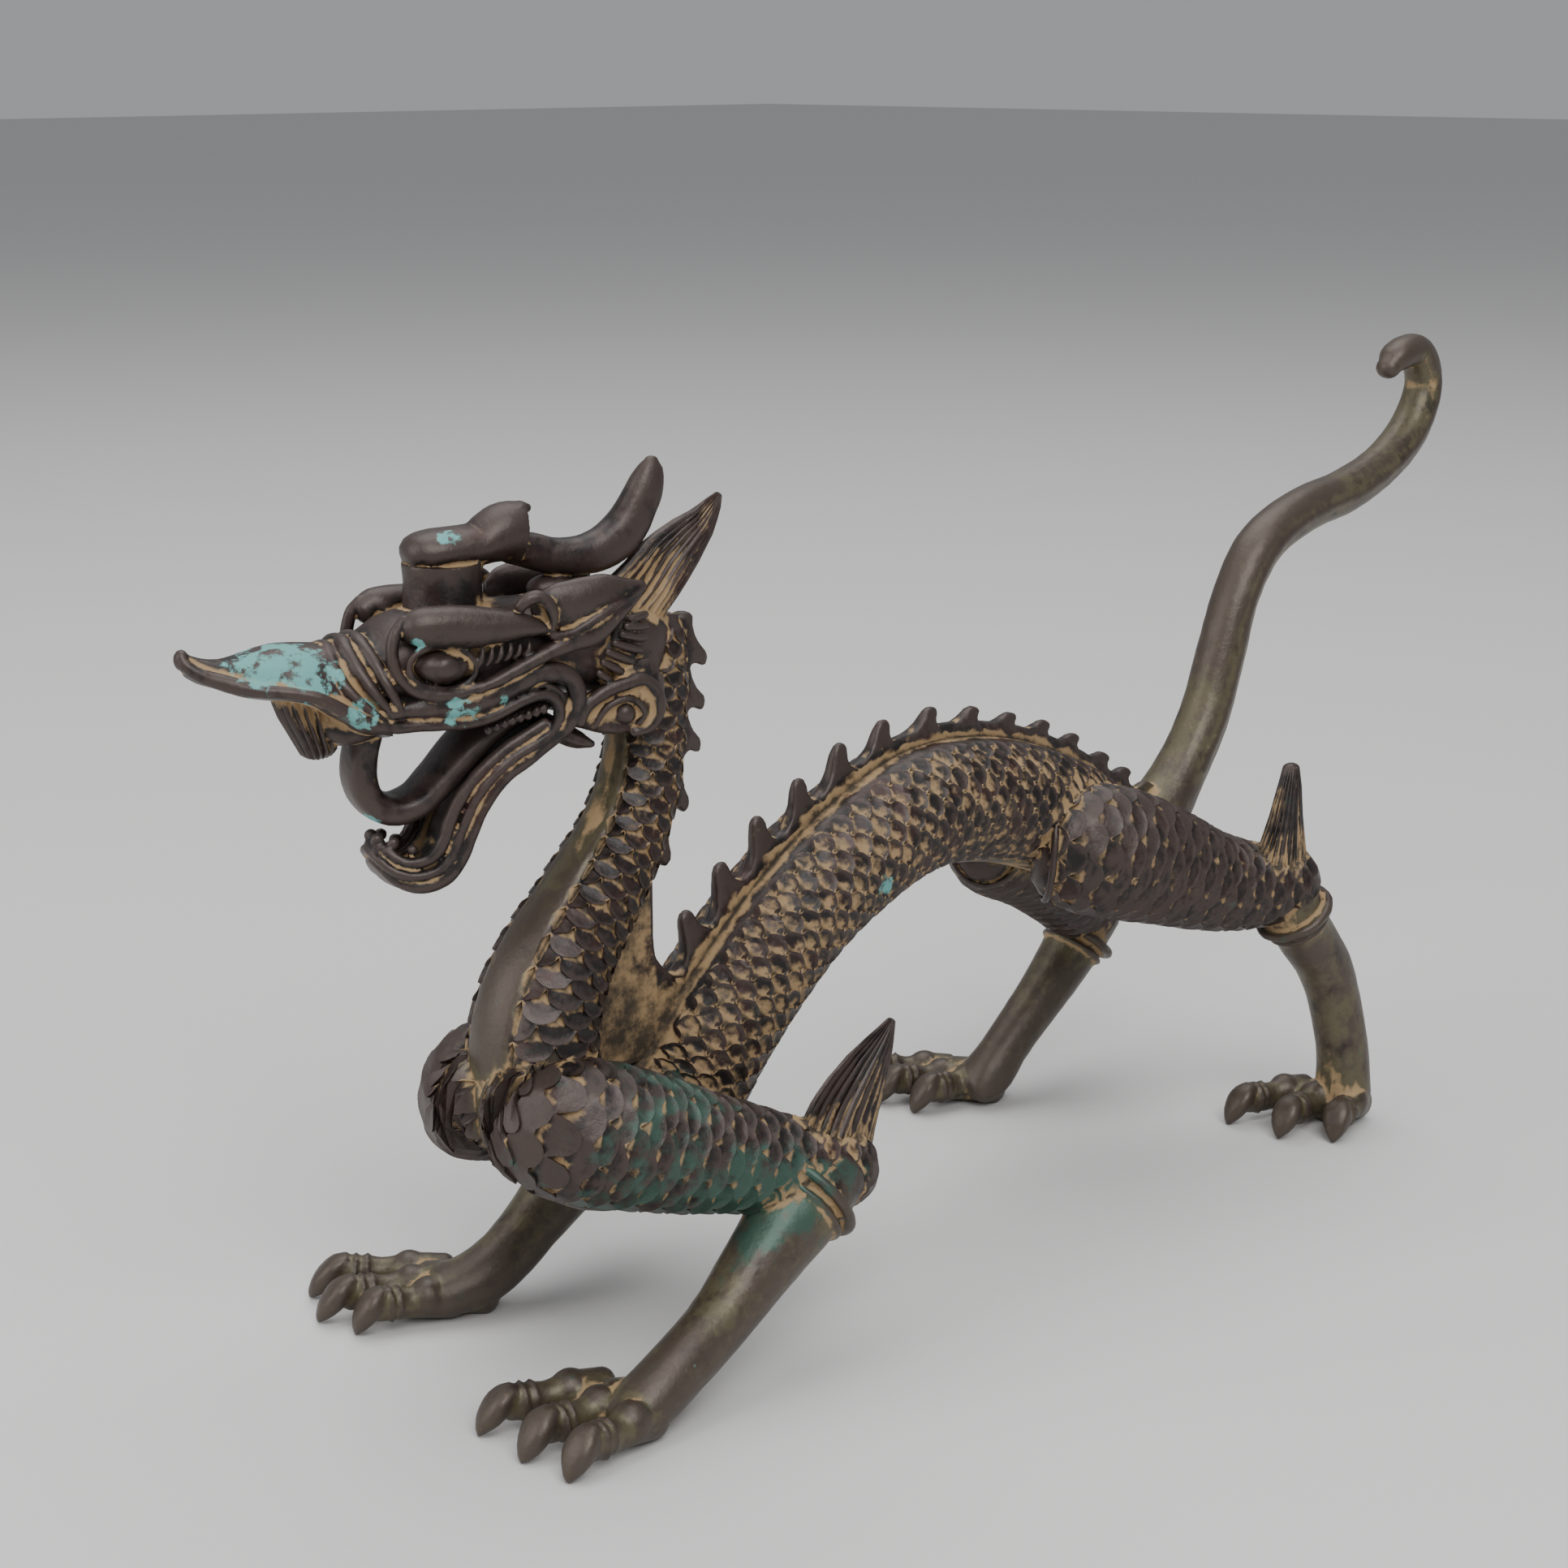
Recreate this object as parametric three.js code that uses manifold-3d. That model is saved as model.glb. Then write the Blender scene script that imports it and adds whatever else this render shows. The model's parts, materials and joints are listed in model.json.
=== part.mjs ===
// A walking dragon cast in bronze, one solid casting standing on its own four feet.
// Millimetres, +Z up. The dragon heads towards -X, its left side is -Y, and the sculpture
// stands on z = 0 with the origin under the middle of its bounding box.
//
// Every form is a sweep: a section carried along a smooth path whose stations are written
// [x, y, z, half width, half height]. The scaled skins are a lattice of overlapping kites.
// All sweeps are fused into one solid and the soles are cut flat at the ground.
import * as THREE from 'three';
import Module from 'manifold-3d';

const wasm = await Module();
wasm.setup();

// ---- driving dimensions ----------------------------------------------------------------
const SCALE_LIFT = 0.8;          // how far a scale's free edge stands over its neighbour
const SCALE_SINK = 0.3;          // how far the roots of the scales lie under the skin
const BODY_SCALE_PITCH = 3.1;   // ring spacing of the scale lattice, half a scale's length
const LEG_SCALE_PITCH = 3.2;
const CREST_ANGLE = 20;          // degrees either side of the back's ridge left smooth
const BELLY_ANGLE = 30;          // degrees either side of the belly's middle left smooth
const BELLY_LIFT = 0.35;         // the belly strip stands a little proud
const CREST_THICK = 2.6;         // thickness of the toothed crest at its root
const NECK_CREST = [0.6, 30.6];  // where the neck's teeth start and stop, along the trunk
const BACK_CREST = [101, 211];   // where the back's teeth start and stop
const HEAD_TURN = 16;            // degrees the head is turned to the dragon's right
const HEAD_PIVOT = [-63, 0, 89]; // where the head frame sits on the neck

// The trunk's centre line from the nape, down the neck, round the chest, over the back.
// Each station: [x, z, half width, half height].
const TRUNK = [
  [-59.0, 101.0, 4.0, 4.2],
  [-59.6, 97.0, 4.2, 4.4],
  [-60.6, 88.0, 4.8, 4.9],
  [-61.6, 80.5, 5.1, 5.2],
  [-65.0, 72.5, 5.5, 5.6],
  [-71.8, 63.8, 6.6, 6.4],
  [-77.6, 56.8, 7.5, 7.3],
  [-80.9, 49.6, 8.2, 8.0],
  [-80.9, 41.6, 8.6, 8.3],
  [-76.4, 33.6, 8.8, 8.6],
  [-66.9, 29.4, 8.9, 8.8],
  [-57.4, 33.4, 9.0, 9.2],
  [-49.8, 41.5, 9.1, 9.2],
  [-34.4, 54.5, 9.3, 8.9],
  [-19.6, 61.9, 9.5, 9.2],
  [-7.5, 64.7, 9.7, 9.4],
  [7.1, 63.2, 9.7, 9.4],
  [22.5, 57.9, 9.5, 9.2],
  [36.0, 50.8, 8.8, 8.4],
  [46.0, 46.6, 7.2, 6.6],
  [51.0, 44.6, 4.6, 4.2],
];

const TAIL = [
  [38.0, 0, 49.0, 6.6, 6.0],
  [48.5, 0, 50.6, 5.6, 5.2],
  [57.7, 0, 58.6, 4.4, 4.3],
  [63.6, 0, 67.0, 4.2, 4.2],
  [67.2, 0, 76.0, 4.1, 4.1],
  [70.8, 0, 85.2, 3.9, 3.8],
  [76.6, 0, 92.4, 3.9, 3.8],
  [87.0, 0, 96.7, 3.8, 3.8],
  [101.0, 0, 99.0, 3.7, 3.7],
  [112.2, 0, 102.6, 3.5, 3.5],
  [120.8, 0, 108.6, 3.4, 3.4],
  [124.0, 0, 115.6, 3.3, 3.3],
  [120.8, 0, 121.0, 3.2, 3.0],
  [114.6, 0, 120.4, 3.0, 2.7],
  [112.2, 0, 117.6, 1.4, 1.2],
];

// Legs: a scaled upper part from shoulder to elbow, a smooth lower part, a ribbed fin at
// the elbow and a foot. x and z are given; y is the distance out from the middle plane.
const LEGS = [
  {
    side: -1,
    upper: [
      [-88.8, 9.6, 39.0, 3.6, 4.2],
      [-87.0, 9.8, 38.8, 6.2, 7.2],
      [-83.0, 10.2, 38.2, 7.6, 8.8],
      [-77.6, 11.2, 36.6, 7.8, 9.0],
      [-69.6, 13.6, 33.2, 7.2, 8.3],
      [-60.0, 16.6, 29.6, 6.2, 7.0],
      [-51.0, 19.2, 26.6, 5.3, 6.0],
      [-43.4, 20.6, 24.9, 4.8, 5.2],
      [-39.2, 21.2, 24.6, 3.0, 3.4],
    ],
    lower: [
      [-46.5, 20.4, 25.4, 5.0, 5.4],
      [-52.5, 20.6, 21.6, 5.2, 5.6],
      [-59.4, 20.9, 16.9, 4.8, 5.2],
      [-68.1, 21.6, 11.3, 4.2, 4.4],
      [-76.5, 22.2, 7.4, 4.1, 4.2],
      [-82.4, 22.2, 4.6, 4.3, 3.9],
      [-86.0, 21.2, 3.2, 4.2, 3.0],
    ],
    fin: [
      [-47.0, 20.2, 26.0, 3.6, 7.6],
      [-44.4, 20.4, 31.6, 3.0, 6.8],
      [-40.6, 20.6, 36.8, 2.2, 4.9],
      [-37.2, 20.8, 41.0, 1.4, 2.6],
      [-35.4, 21.0, 43.6, 0.6, 0.7],
    ],
    toes: [
      [[-84.4, 12.6], [-98.4, 7.9]],
      [[-84.8, 18.2], [-99.0, 17.2]],
      [[-85.0, 24.0], [-98.2, 25.0]],
    ],
  },
  {
    side: 1,
    upper: [
      [-86.6, 9.9, 39.6, 3.9, 4.4],
      [-85.2, 9.8, 39.4, 6.0, 7.0],
      [-81.6, 10.2, 38.6, 7.4, 8.6],
      [-76.6, 11.2, 36.8, 7.8, 8.9],
      [-69.6, 13.6, 33.2, 7.2, 8.3],
      [-60.0, 16.6, 29.6, 6.2, 7.0],
      [-51.0, 18.6, 26.6, 5.3, 6.0],
      [-43.4, 19.6, 24.9, 4.8, 5.2],
      [-39.2, 20.0, 24.6, 3.0, 3.4],
    ],
    lower: [
      [-46.5, 19.4, 25.4, 5.0, 5.4],
      [-54.0, 19.6, 19.8, 5.0, 5.4],
      [-64.1, 20.0, 11.6, 4.2, 4.4],
      [-69.8, 20.4, 7.4, 4.1, 4.2],
      [-74.6, 21.2, 5.0, 4.4, 4.0],
      [-79.0, 23.4, 3.6, 4.4, 3.4],
    ],
    fin: [
      [-47.0, 19.4, 26.0, 3.6, 7.6],
      [-44.4, 19.6, 31.6, 3.0, 6.8],
      [-40.6, 19.8, 36.8, 2.2, 4.9],
      [-37.2, 20.0, 41.0, 1.4, 2.6],
      [-35.4, 20.2, 43.6, 0.6, 0.7],
    ],
    toes: [
      [[-80.2, 22.6], [-91.6, 26.8]],
      [[-79.0, 27.0], [-93.0, 33.6]],
      [[-76.4, 30.6], [-88.8, 41.0]],
    ],
  },
  {
    side: -1,
    upper: [
      [17.4, 9.0, 53.8, 4.0, 5.0],
      [19.2, 9.2, 53.6, 6.6, 7.8],
      [23.0, 9.4, 53.2, 8.2, 9.6],
      [29.0, 10.2, 51.8, 8.4, 9.8],
      [37.0, 12.4, 48.6, 7.8, 8.8],
      [46.0, 15.6, 44.8, 6.8, 7.4],
      [55.0, 18.8, 43.0, 5.8, 6.2],
      [61.0, 20.4, 43.0, 5.0, 5.4],
      [64.6, 21.0, 43.2, 3.0, 3.4],
    ],
    lower: [
      [58.2, 20.2, 42.4, 5.2, 5.4],
      [62.1, 21.0, 35.5, 4.6, 5.0],
      [68.0, 22.0, 27.6, 4.4, 4.6],
      [70.7, 22.8, 21.0, 4.2, 4.4],
      [72.5, 23.8, 11.5, 4.2, 4.4],
      [72.7, 24.2, 4.6, 4.6, 4.6],
    ],
    fin: [
      [56.2, 20.6, 41.0, 3.6, 7.0],
      [56.4, 20.8, 48.0, 3.0, 5.8],
      [57.0, 21.0, 54.4, 2.2, 3.8],
      [57.6, 21.0, 59.4, 1.7, 2.4],
      [57.8, 21.0, 62.2, 1.3, 1.4],
    ],
    toes: [
      [[69.6, 16.6], [56.6, 12.8]],
      [[70.4, 21.6], [56.9, 22.5]],
      [[72.8, 26.4], [61.9, 29.6]],
    ],
  },
  {
    side: 1,
    upper: [
      [17.4, 9.0, 53.8, 4.0, 5.0],
      [19.2, 9.2, 53.4, 6.6, 7.8],
      [23.0, 9.4, 52.4, 8.2, 9.6],
      [29.0, 10.2, 50.0, 8.4, 9.8],
      [37.0, 12.4, 45.2, 7.8, 8.8],
      [46.0, 15.6, 38.6, 6.8, 7.4],
      [54.0, 18.2, 33.0, 5.8, 6.4],
      [60.2, 19.6, 29.8, 5.0, 5.6],
      [63.8, 20.2, 28.4, 3.0, 3.4],
    ],
    lower: [
      [60.0, 19.4, 29.6, 5.2, 5.4],
      [54.4, 20.0, 22.6, 4.7, 5.0],
      [47.8, 20.8, 15.9, 4.1, 4.3],
      [40.8, 21.6, 9.4, 3.8, 4.0],
      [37.0, 22.4, 5.2, 4.2, 4.2],
      [34.6, 23.4, 3.4, 4.4, 3.4],
    ],
    fin: [
      [60.6, 19.6, 29.0, 3.6, 6.6],
      [62.4, 19.8, 35.0, 3.0, 5.4],
      [64.0, 20.0, 40.6, 2.2, 3.6],
      [65.0, 20.0, 45.0, 1.7, 2.2],
      [65.4, 20.0, 47.6, 1.3, 1.4],
    ],
    toes: [
      [[36.0, 24.2], [23.8, 27.4]],
      [[35.2, 28.8], [22.6, 34.8]],
      [[35.6, 33.0], [25.0, 41.6]],
    ],
  },
];

// Head frame: u runs forward from the nape, v to the dragon's left, w up.
const SKULL = [
  [-5.0, 0, 7.0, 4.6, 5.4],
  [0.0, 0, 7.2, 7.4, 7.4],
  [8.0, 0, 8.4, 8.8, 7.6],
  [16.0, 0, 9.4, 9.0, 7.2],
  [25.0, 0, 8.8, 8.4, 6.6],
  [33.0, 0, 7.8, 7.8, 5.6],
  [39.0, 0, 7.6, 6.8, 4.0],
  [43.0, 0, 8.0, 5.4, 2.8],
];
// The snout is a broad leaf: [u, ridge height, half width, edge height, thickness].
const SNOUT = [
  [38.0, 12.0, 7.6, 4.4, 3.4],
  [42.5, 12.8, 8.0, 6.4, 2.8],
  [47.5, 13.6, 7.6, 8.2, 2.4],
  [52.0, 12.6, 6.2, 8.8, 2.1],
  [56.0, 12.0, 4.4, 9.8, 1.9],
  [59.0, 12.8, 2.6, 11.4, 1.8],
  [60.6, 13.8, 1.2, 13.0, 1.5],
];
const PALATE = [
  [45.6, 0, 8.0, 5.6, 1.6],
  [44.0, 0, 4.0, 5.0, 2.2],
  [41.6, 0, 0.4, 4.4, 1.8],
];
const LIP = [
  [50.0, 7.0, 8.6, 0.9, 0.9],
  [45.0, 7.7, 7.4, 1.1, 1.1],
  [40.0, 7.9, 4.6, 1.2, 1.3],
  [34.0, 8.2, 3.4, 1.2, 1.3],
  [26.0, 8.2, 3.4, 1.2, 1.3],
  [21.5, 8.0, 4.4, 1.2, 1.3],
  [17.2, 7.6, 6.0, 1.2, 1.3],
  [13.0, 7.2, 6.0, 1.2, 1.3],
  [11.2, 6.8, 3.4, 1.2, 1.3],
  [14.6, 6.4, 0.4, 1.1, 1.2],
];
const JAW = [
  [8.0, 0, 3.0, 7.0, 3.2],
  [13.0, 0, -1.2, 6.6, 3.2],
  [18.6, 0, -3.9, 6.2, 3.2],
  [22.4, 0, -7.4, 5.8, 3.2],
  [24.6, 0, -11.0, 5.5, 3.2],
  [26.7, 0, -15.8, 5.2, 3.2],
  [29.2, 0, -18.4, 5.0, 3.2],
  [32.6, 0, -19.0, 4.7, 3.0],
  [35.2, 0, -17.6, 4.2, 2.6],
  [37.0, 0, -15.4, 3.6, 2.0],
  [37.4, 0, -13.4, 3.0, 1.6],
];
const TONGUE = [
  [16.0, 0, 4.4, 4.6, 1.8],
  [22.0, 0, 2.0, 4.4, 1.8],
  [27.4, 0, -1.8, 4.0, 1.8],
  [31.6, 0, -6.4, 3.4, 1.8],
  [35.2, 0, -9.4, 3.0, 1.7],
  [38.4, 0, -8.0, 2.8, 1.6],
  [39.4, 0, -4.0, 2.8, 1.6],
  [38.4, 0, 0.0, 2.6, 1.6],
  [36.4, 0, 3.6, 2.4, 1.5],
];
const BROW = [
  [35.4, 6.6, 11.6, 1.6, 1.7],
  [33.4, 7.4, 12.2, 2.0, 2.0],
  [28.6, 7.9, 13.2, 2.3, 2.3],
  [23.0, 8.8, 14.0, 2.4, 2.5],
  [18.0, 9.2, 12.8, 2.0, 2.0],
  [14.6, 9.2, 11.6, 1.2, 1.1],
];
const BROW_CURL = [
  [14.8, 9.4, 12.4, 1.1, 1.1],
  [13.2, 9.6, 14.0, 1.2, 1.2],
  [14.4, 9.4, 16.0, 1.3, 1.3],
  [17.2, 8.8, 16.6, 1.2, 1.2],
];
const EYELID = [
  [36.4, 8.0, 10.6, 0.8, 0.9],
  [33.6, 9.2, 8.0, 0.9, 0.9],
  [29.6, 9.8, 7.6, 1.0, 1.0],
  [25.6, 9.8, 9.2, 1.1, 1.1],
  [20.0, 9.6, 10.6, 1.2, 1.2],
  [14.0, 9.2, 11.4, 0.9, 0.9],
];
const NOSTRIL = [
  [41.2, 2.2, 11.4, 1.5, 1.5],
  [39.4, 4.6, 11.2, 1.6, 1.6],
  [37.2, 7.0, 8.4, 1.4, 1.4],
  [35.4, 8.0, 5.0, 1.2, 1.2],
];
const NOSE_FOLD = [
  [37.6, 2.6, 12.2, 1.4, 1.4],
  [36.2, 5.4, 11.4, 1.5, 1.5],
  [34.2, 7.6, 8.0, 1.2, 1.2],
  [32.2, 8.2, 4.8, 1.0, 1.0],
];
const HORN_COLUMN = [
  [26.0, 0, 13.4, 4.8, 4.8],
  [26.0, 0, 17.0, 4.7, 4.7],
  [26.0, 0, 21.0, 5.0, 5.0],
  [26.0, 0, 21.9, 5.2, 5.2],
];
const HORN_BULB = [
  [26.6, 0, 20.4, 4.2, 4.0],
  [26.4, 0, 22.2, 4.0, 3.2],
  [23.2, 0, 22.8, 3.6, 2.7],
  [19.6, 0, 22.8, 3.4, 2.7],
  [16.6, 0, 23.4, 3.6, 3.7],
  [14.8, 0, 24.4, 3.4, 4.1],
];
const HORN = [
  [18.0, 0, 22.6, 2.2, 2.1],
  [13.0, 0, 21.2, 2.3, 2.3],
  [7.6, 0, 20.2, 2.5, 2.6],
  [2.6, 0, 21.4, 2.7, 2.7],
  [-0.6, 0, 24.8, 2.6, 2.6],
  [-2.4, 0, 28.6, 2.1, 2.2],
  [-3.0, 0, 31.6, 1.0, 1.1],
];
const TUFT = [
  [3.6, 0, 10.6, 5.2, 5.2],
  [-1.0, 0, 14.6, 4.4, 4.6],
  [-4.8, 0, 18.6, 3.4, 3.8],
  [-8.6, 0, 22.8, 2.2, 2.2],
  [-12.0, 0, 27.0, 0.8, 0.8],
];
const EAR = [
  [17.0, 7.6, 11.6, 1.4, 1.6],
  [13.0, 8.6, 13.2, 2.0, 3.0],
  [8.0, 8.8, 15.2, 2.2, 3.4],
  [4.0, 8.2, 17.0, 1.6, 2.4],
  [1.4, 7.4, 18.6, 0.7, 0.8],
];
const EAR_BLADE = [
  [18.0, 8.6, 7.0, 1.0, 1.4],
  [12.4, 9.4, 8.8, 1.3, 2.2],
  [7.0, 9.4, 11.4, 1.3, 2.4],
  [3.6, 8.8, 14.4, 1.1, 1.6],
  [2.0, 8.0, 17.0, 0.6, 0.6],
];
const CHEEK = [
  [13.4, 7.2, 1.6, 1.6, 1.8],
  [9.0, 7.8, 2.6, 1.8, 2.6],
  [4.0, 8.0, 3.2, 1.8, 4.0],
  [0.0, 7.6, 2.4, 1.4, 3.8],
  [-1.2, 7.4, 2.0, 0.8, 2.6],
];
const COMB_RIBS = 4;

// ---- meshes ----------------------------------------------------------------------------

// A closed triangle list becomes a solid, turned outside out if its volume is negative.
function solid(vertices, triangles) {
  let volume = 0;
  for (const [a, b, c] of triangles) {
    volume += vertices[a].dot(new THREE.Vector3().crossVectors(vertices[b], vertices[c]));
  }
  const faces = volume < 0 ? triangles.map(([a, b, c]) => [a, c, b]) : triangles;
  const vertProperties = new Float32Array(vertices.flatMap((v) => [v.x, v.y, v.z]));
  const triVerts = new Uint32Array(faces.flat());
  return new wasm.Manifold(new wasm.Mesh({ numProp: 3, vertProperties, triVerts }));
}

// A smooth path with its changing half width and half height.
function makeRoute(stations) {
  const path = new THREE.CatmullRomCurve3(stations.map((s) => new THREE.Vector3(s[0], s[1], s[2])));
  const sizes = new THREE.CatmullRomCurve3(
    stations.map((s) => new THREE.Vector3(s[3], s[4], 0)), false, 'catmullrom', 0.5);
  return { path, sizes };
}

// The section's frame at a fraction t of the route: side lies along the lateral hint and
// up completes it, so that on the trunk up is the dragon's back.
function frameAt(route, t, lateral) {
  const at = route.path.getPoint(t);
  const along = route.path.getTangent(t);
  const side = lateral.clone().addScaledVector(along, -lateral.dot(along)).normalize();
  const up = new THREE.Vector3().crossVectors(along, side);
  const size = route.sizes.getPoint(t);
  return { at, side, up, halfWidth: size.x, halfHeight: size.y };
}

// A point of a frame's elliptical section, at an angle from the up direction.
function onSection(frame, angle, lift = 0) {
  return frame.at.clone()
    .addScaledVector(frame.up, (frame.halfHeight + lift) * Math.cos(angle))
    .addScaledVector(frame.side, (frame.halfWidth + lift) * Math.sin(angle));
}

const SIDEWAYS = new THREE.Vector3(0, 1, 0);

// A section of the given sides swept along the stations and closed at both ends.
function sweep(stations, sides, steps, lateral = SIDEWAYS, place = (v) => v) {
  const route = makeRoute(stations);
  const vertices = [];
  const triangles = [];
  for (let i = 0; i <= steps; i += 1) {
    const frame = frameAt(route, i / steps, lateral);
    for (let j = 0; j < sides; j += 1) {
      vertices.push(place(onSection(frame, (2 * Math.PI * (j + 0.5)) / sides)));
    }
  }
  bridgeRings(triangles, steps, sides);
  capRing(vertices, triangles, 0, sides, true);
  capRing(vertices, triangles, steps * sides, sides, false);
  return solid(vertices, triangles);
}

// Quads, cut in two, between successive rings of equal length.
function bridgeRings(triangles, steps, sides) {
  for (let i = 0; i < steps; i += 1) {
    for (let j = 0; j < sides; j += 1) {
      const a = i * sides + j;
      const b = i * sides + ((j + 1) % sides);
      triangles.push([a, b, b + sides], [a, b + sides, a + sides]);
    }
  }
}

// A ring closed by a fan to its centre.
function capRing(vertices, triangles, first, sides, atStart) {
  const centre = new THREE.Vector3();
  for (let j = 0; j < sides; j += 1) {
    centre.addScaledVector(vertices[first + j], 1 / sides);
  }
  const hub = vertices.push(centre) - 1;
  for (let j = 0; j < sides; j += 1) {
    const a = first + j;
    const b = first + ((j + 1) % sides);
    triangles.push(atStart ? [hub, b, a] : [hub, a, b]);
  }
}

// A skin of overlapping scales: a lattice whose columns carry, ring by ring, a raised tip
// and the low point just behind it. Each scale is a kite of two faces with a step of two
// more under its free edge. Smooth columns hold one vertex at every second ring.
function scaledSkin(stations, columns, pitch, lateral = () => SIDEWAYS) {
  const route = makeRoute(stations);
  const rings = 2 * Math.round(route.path.getLength() / pitch / 2);
  const fractions = [];
  for (let k = 0; k <= rings; k += 1) {
    fractions.push(route.path.getUtoTmapping(k / rings));
  }
  const stepBack = 0.12 / rings;
  const vertices = [];
  const triangles = [];
  const put = (t, column, lift) => {
    const frame = frameAt(route, Math.min(t, 1), lateral(t));
    return vertices.push(onSection(frame, column.angle, lift)) - 1;
  };
  // Each column is a list of {low, high} knots, one for each second ring.
  const knots = columns.map((column) => {
    const list = [];
    for (let k = column.odd ? -1 : 0; k <= rings + (column.odd ? 1 : 0); k += 2) {
      const inside = k > 0 && k < rings;
      const t = fractions[Math.min(Math.max(k, 0), rings)];
      const scaled = column.scaled && inside;
      const high = scaled ? put(t, column, SCALE_LIFT - SCALE_SINK) : null;
      const low = put(scaled ? t + stepBack : t, column, column.scaled ? -SCALE_SINK : column.lift);
      list.push({ low, high });
    }
    return list;
  });
  const halfKite = (lowBehind, tip, corner, flip) => {
    const add = (a, b, c) => triangles.push(flip ? [a, c, b] : [a, b, c]);
    if (tip.high === null) {
      add(lowBehind, tip.low, corner);
    } else {
      add(lowBehind, tip.high, corner);
      add(corner, tip.high, tip.low);
    }
  };
  for (let j = 0; j < columns.length; j += 1) {
    const n = (j + 1) % columns.length;
    const here = knots[j];
    const next = knots[n];
    if (columns[j].odd === columns[n].odd) {
      for (let i = 1; i < here.length; i += 1) {
        triangles.push([here[i - 1].low, here[i].low, next[i].low]);
        triangles.push([here[i - 1].low, next[i].low, next[i - 1].low]);
      }
      continue;
    }
    const flip = columns[j].odd;
    const even = flip ? next : here;
    const odd = flip ? here : next;
    for (let i = 1; i < even.length; i += 1) {
      halfKite(even[i - 1].low, even[i], odd[i].low, flip);
    }
    for (let i = 1; i < odd.length; i += 1) {
      halfKite(odd[i - 1].low, odd[i], even[i - 1].low, !flip);
    }
  }
  // Both ends are closed by fans over the columns' first and last knots.
  for (const last of [false, true]) {
    const rim = knots.map((list) => list[last ? list.length - 1 : 0].low);
    const hub = vertices.push(route.path.getPoint(last ? 1 : 0)) - 1;
    rim.forEach((a, j) => {
      const b = rim[(j + 1) % rim.length];
      triangles.push(last ? [hub, b, a] : [hub, a, b]);
    });
  }
  return solid(vertices, triangles);
}

// Columns of a trunk: scaled flanks between a smooth ridge on the back and a smooth,
// slightly raised strip along the belly. flank is the number of lattice steps on a side.
function trunkColumns(flank) {
  const from = THREE.MathUtils.degToRad(CREST_ANGLE);
  const to = THREE.MathUtils.degToRad(180 - BELLY_ANGLE);
  const columns = [];
  columns.push({ angle: 0, odd: false, scaled: false, lift: 0 });
  for (const turn of [1, -1]) {
    const side = [];
    for (let j = 0; j <= flank; j += 1) {
      const edge = j === 0 || j === flank;
      const angle = from + ((to - from) * j) / flank;
      const lift = j === flank ? BELLY_LIFT : 0;
      side.push({ angle: turn * angle, odd: j % 2 === 1, scaled: !edge, lift });
    }
    if (turn === 1) {
      columns.push(...side, { angle: Math.PI, odd: false, scaled: false, lift: BELLY_LIFT });
    } else {
      columns.push(...side.reverse());
    }
  }
  return columns;
}

// Columns of an upper leg, scaled all the way round.
function limbColumns(count) {
  return Array.from({ length: count }, (_, j) => (
    { angle: (2 * Math.PI * j) / count, odd: j % 2 === 1, scaled: true, lift: 0 }));
}

// ---- trunk, crest and tail ---------------------------------------------------------------

const onPlane = (stations) => stations.map(([x, z, halfWidth, halfHeight]) => (
  [x, 0, z, halfWidth, halfHeight]));

// A toothed crest standing on the trunk between two lengths measured from the nape.
// Every tooth climbs slowly and drops steeply on its tail side, so it hooks backwards.
function crest(stations, [from, to], teeth, valley, height) {
  const route = makeRoute(onPlane(stations));
  const length = route.path.getLength();
  const profile = [[0, 0], [0.78, 1]];
  const vertices = [];
  const triangles = [];
  const ring = (along, rise) => {
    const t = route.path.getUtoTmapping((from + (to - from) * along) / length);
    const frame = frameAt(route, t, trunkLateral(t));
    const top = frame.halfHeight + valley + rise * height(along);
    const halfTop = 0.34 * CREST_THICK;
    const halfRoot = 0.62 * CREST_THICK;
    const root = frame.halfHeight * 0.7;
    const point = (y, reach) => frame.at.clone()
      .addScaledVector(frame.up, reach).addScaledVector(frame.side, y);
    vertices.push(point(-halfRoot, root), point(-halfTop, top), point(halfTop, top), point(halfRoot, root));
  };
  for (let i = 0; i < teeth; i += 1) {
    for (const [step, rise] of profile) {
      ring((i + step) / teeth, rise);
    }
  }
  ring(1, 0);
  const rings = vertices.length / 4;
  bridgeRings(triangles, rings - 1, 4);
  capRing(vertices, triangles, 0, 4, true);
  capRing(vertices, triangles, (rings - 1) * 4, 4, false);
  return solid(vertices, triangles);
}

// The thin web that fills the crook between the neck's nape and the rising back.
function crook() {
  const outline = [
    [-77, 58], [-70, 66.5], [-64, 75], [-60.8, 71], [-60.6, 63], [-60.8, 55], [-59.2, 51.4],
    [-55, 52], [-52, 43], [-62, 33], [-76, 41],
  ];
  const shape = new THREE.Shape(outline.map(([x, z]) => new THREE.Vector2(x, z)));
  const plate = new THREE.ExtrudeGeometry(shape, { depth: CREST_THICK, bevelEnabled: false });
  plate.rotateX(Math.PI / 2);
  plate.translate(0, CREST_THICK / 2, 0);
  return fromGeometry(plate);
}

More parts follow.
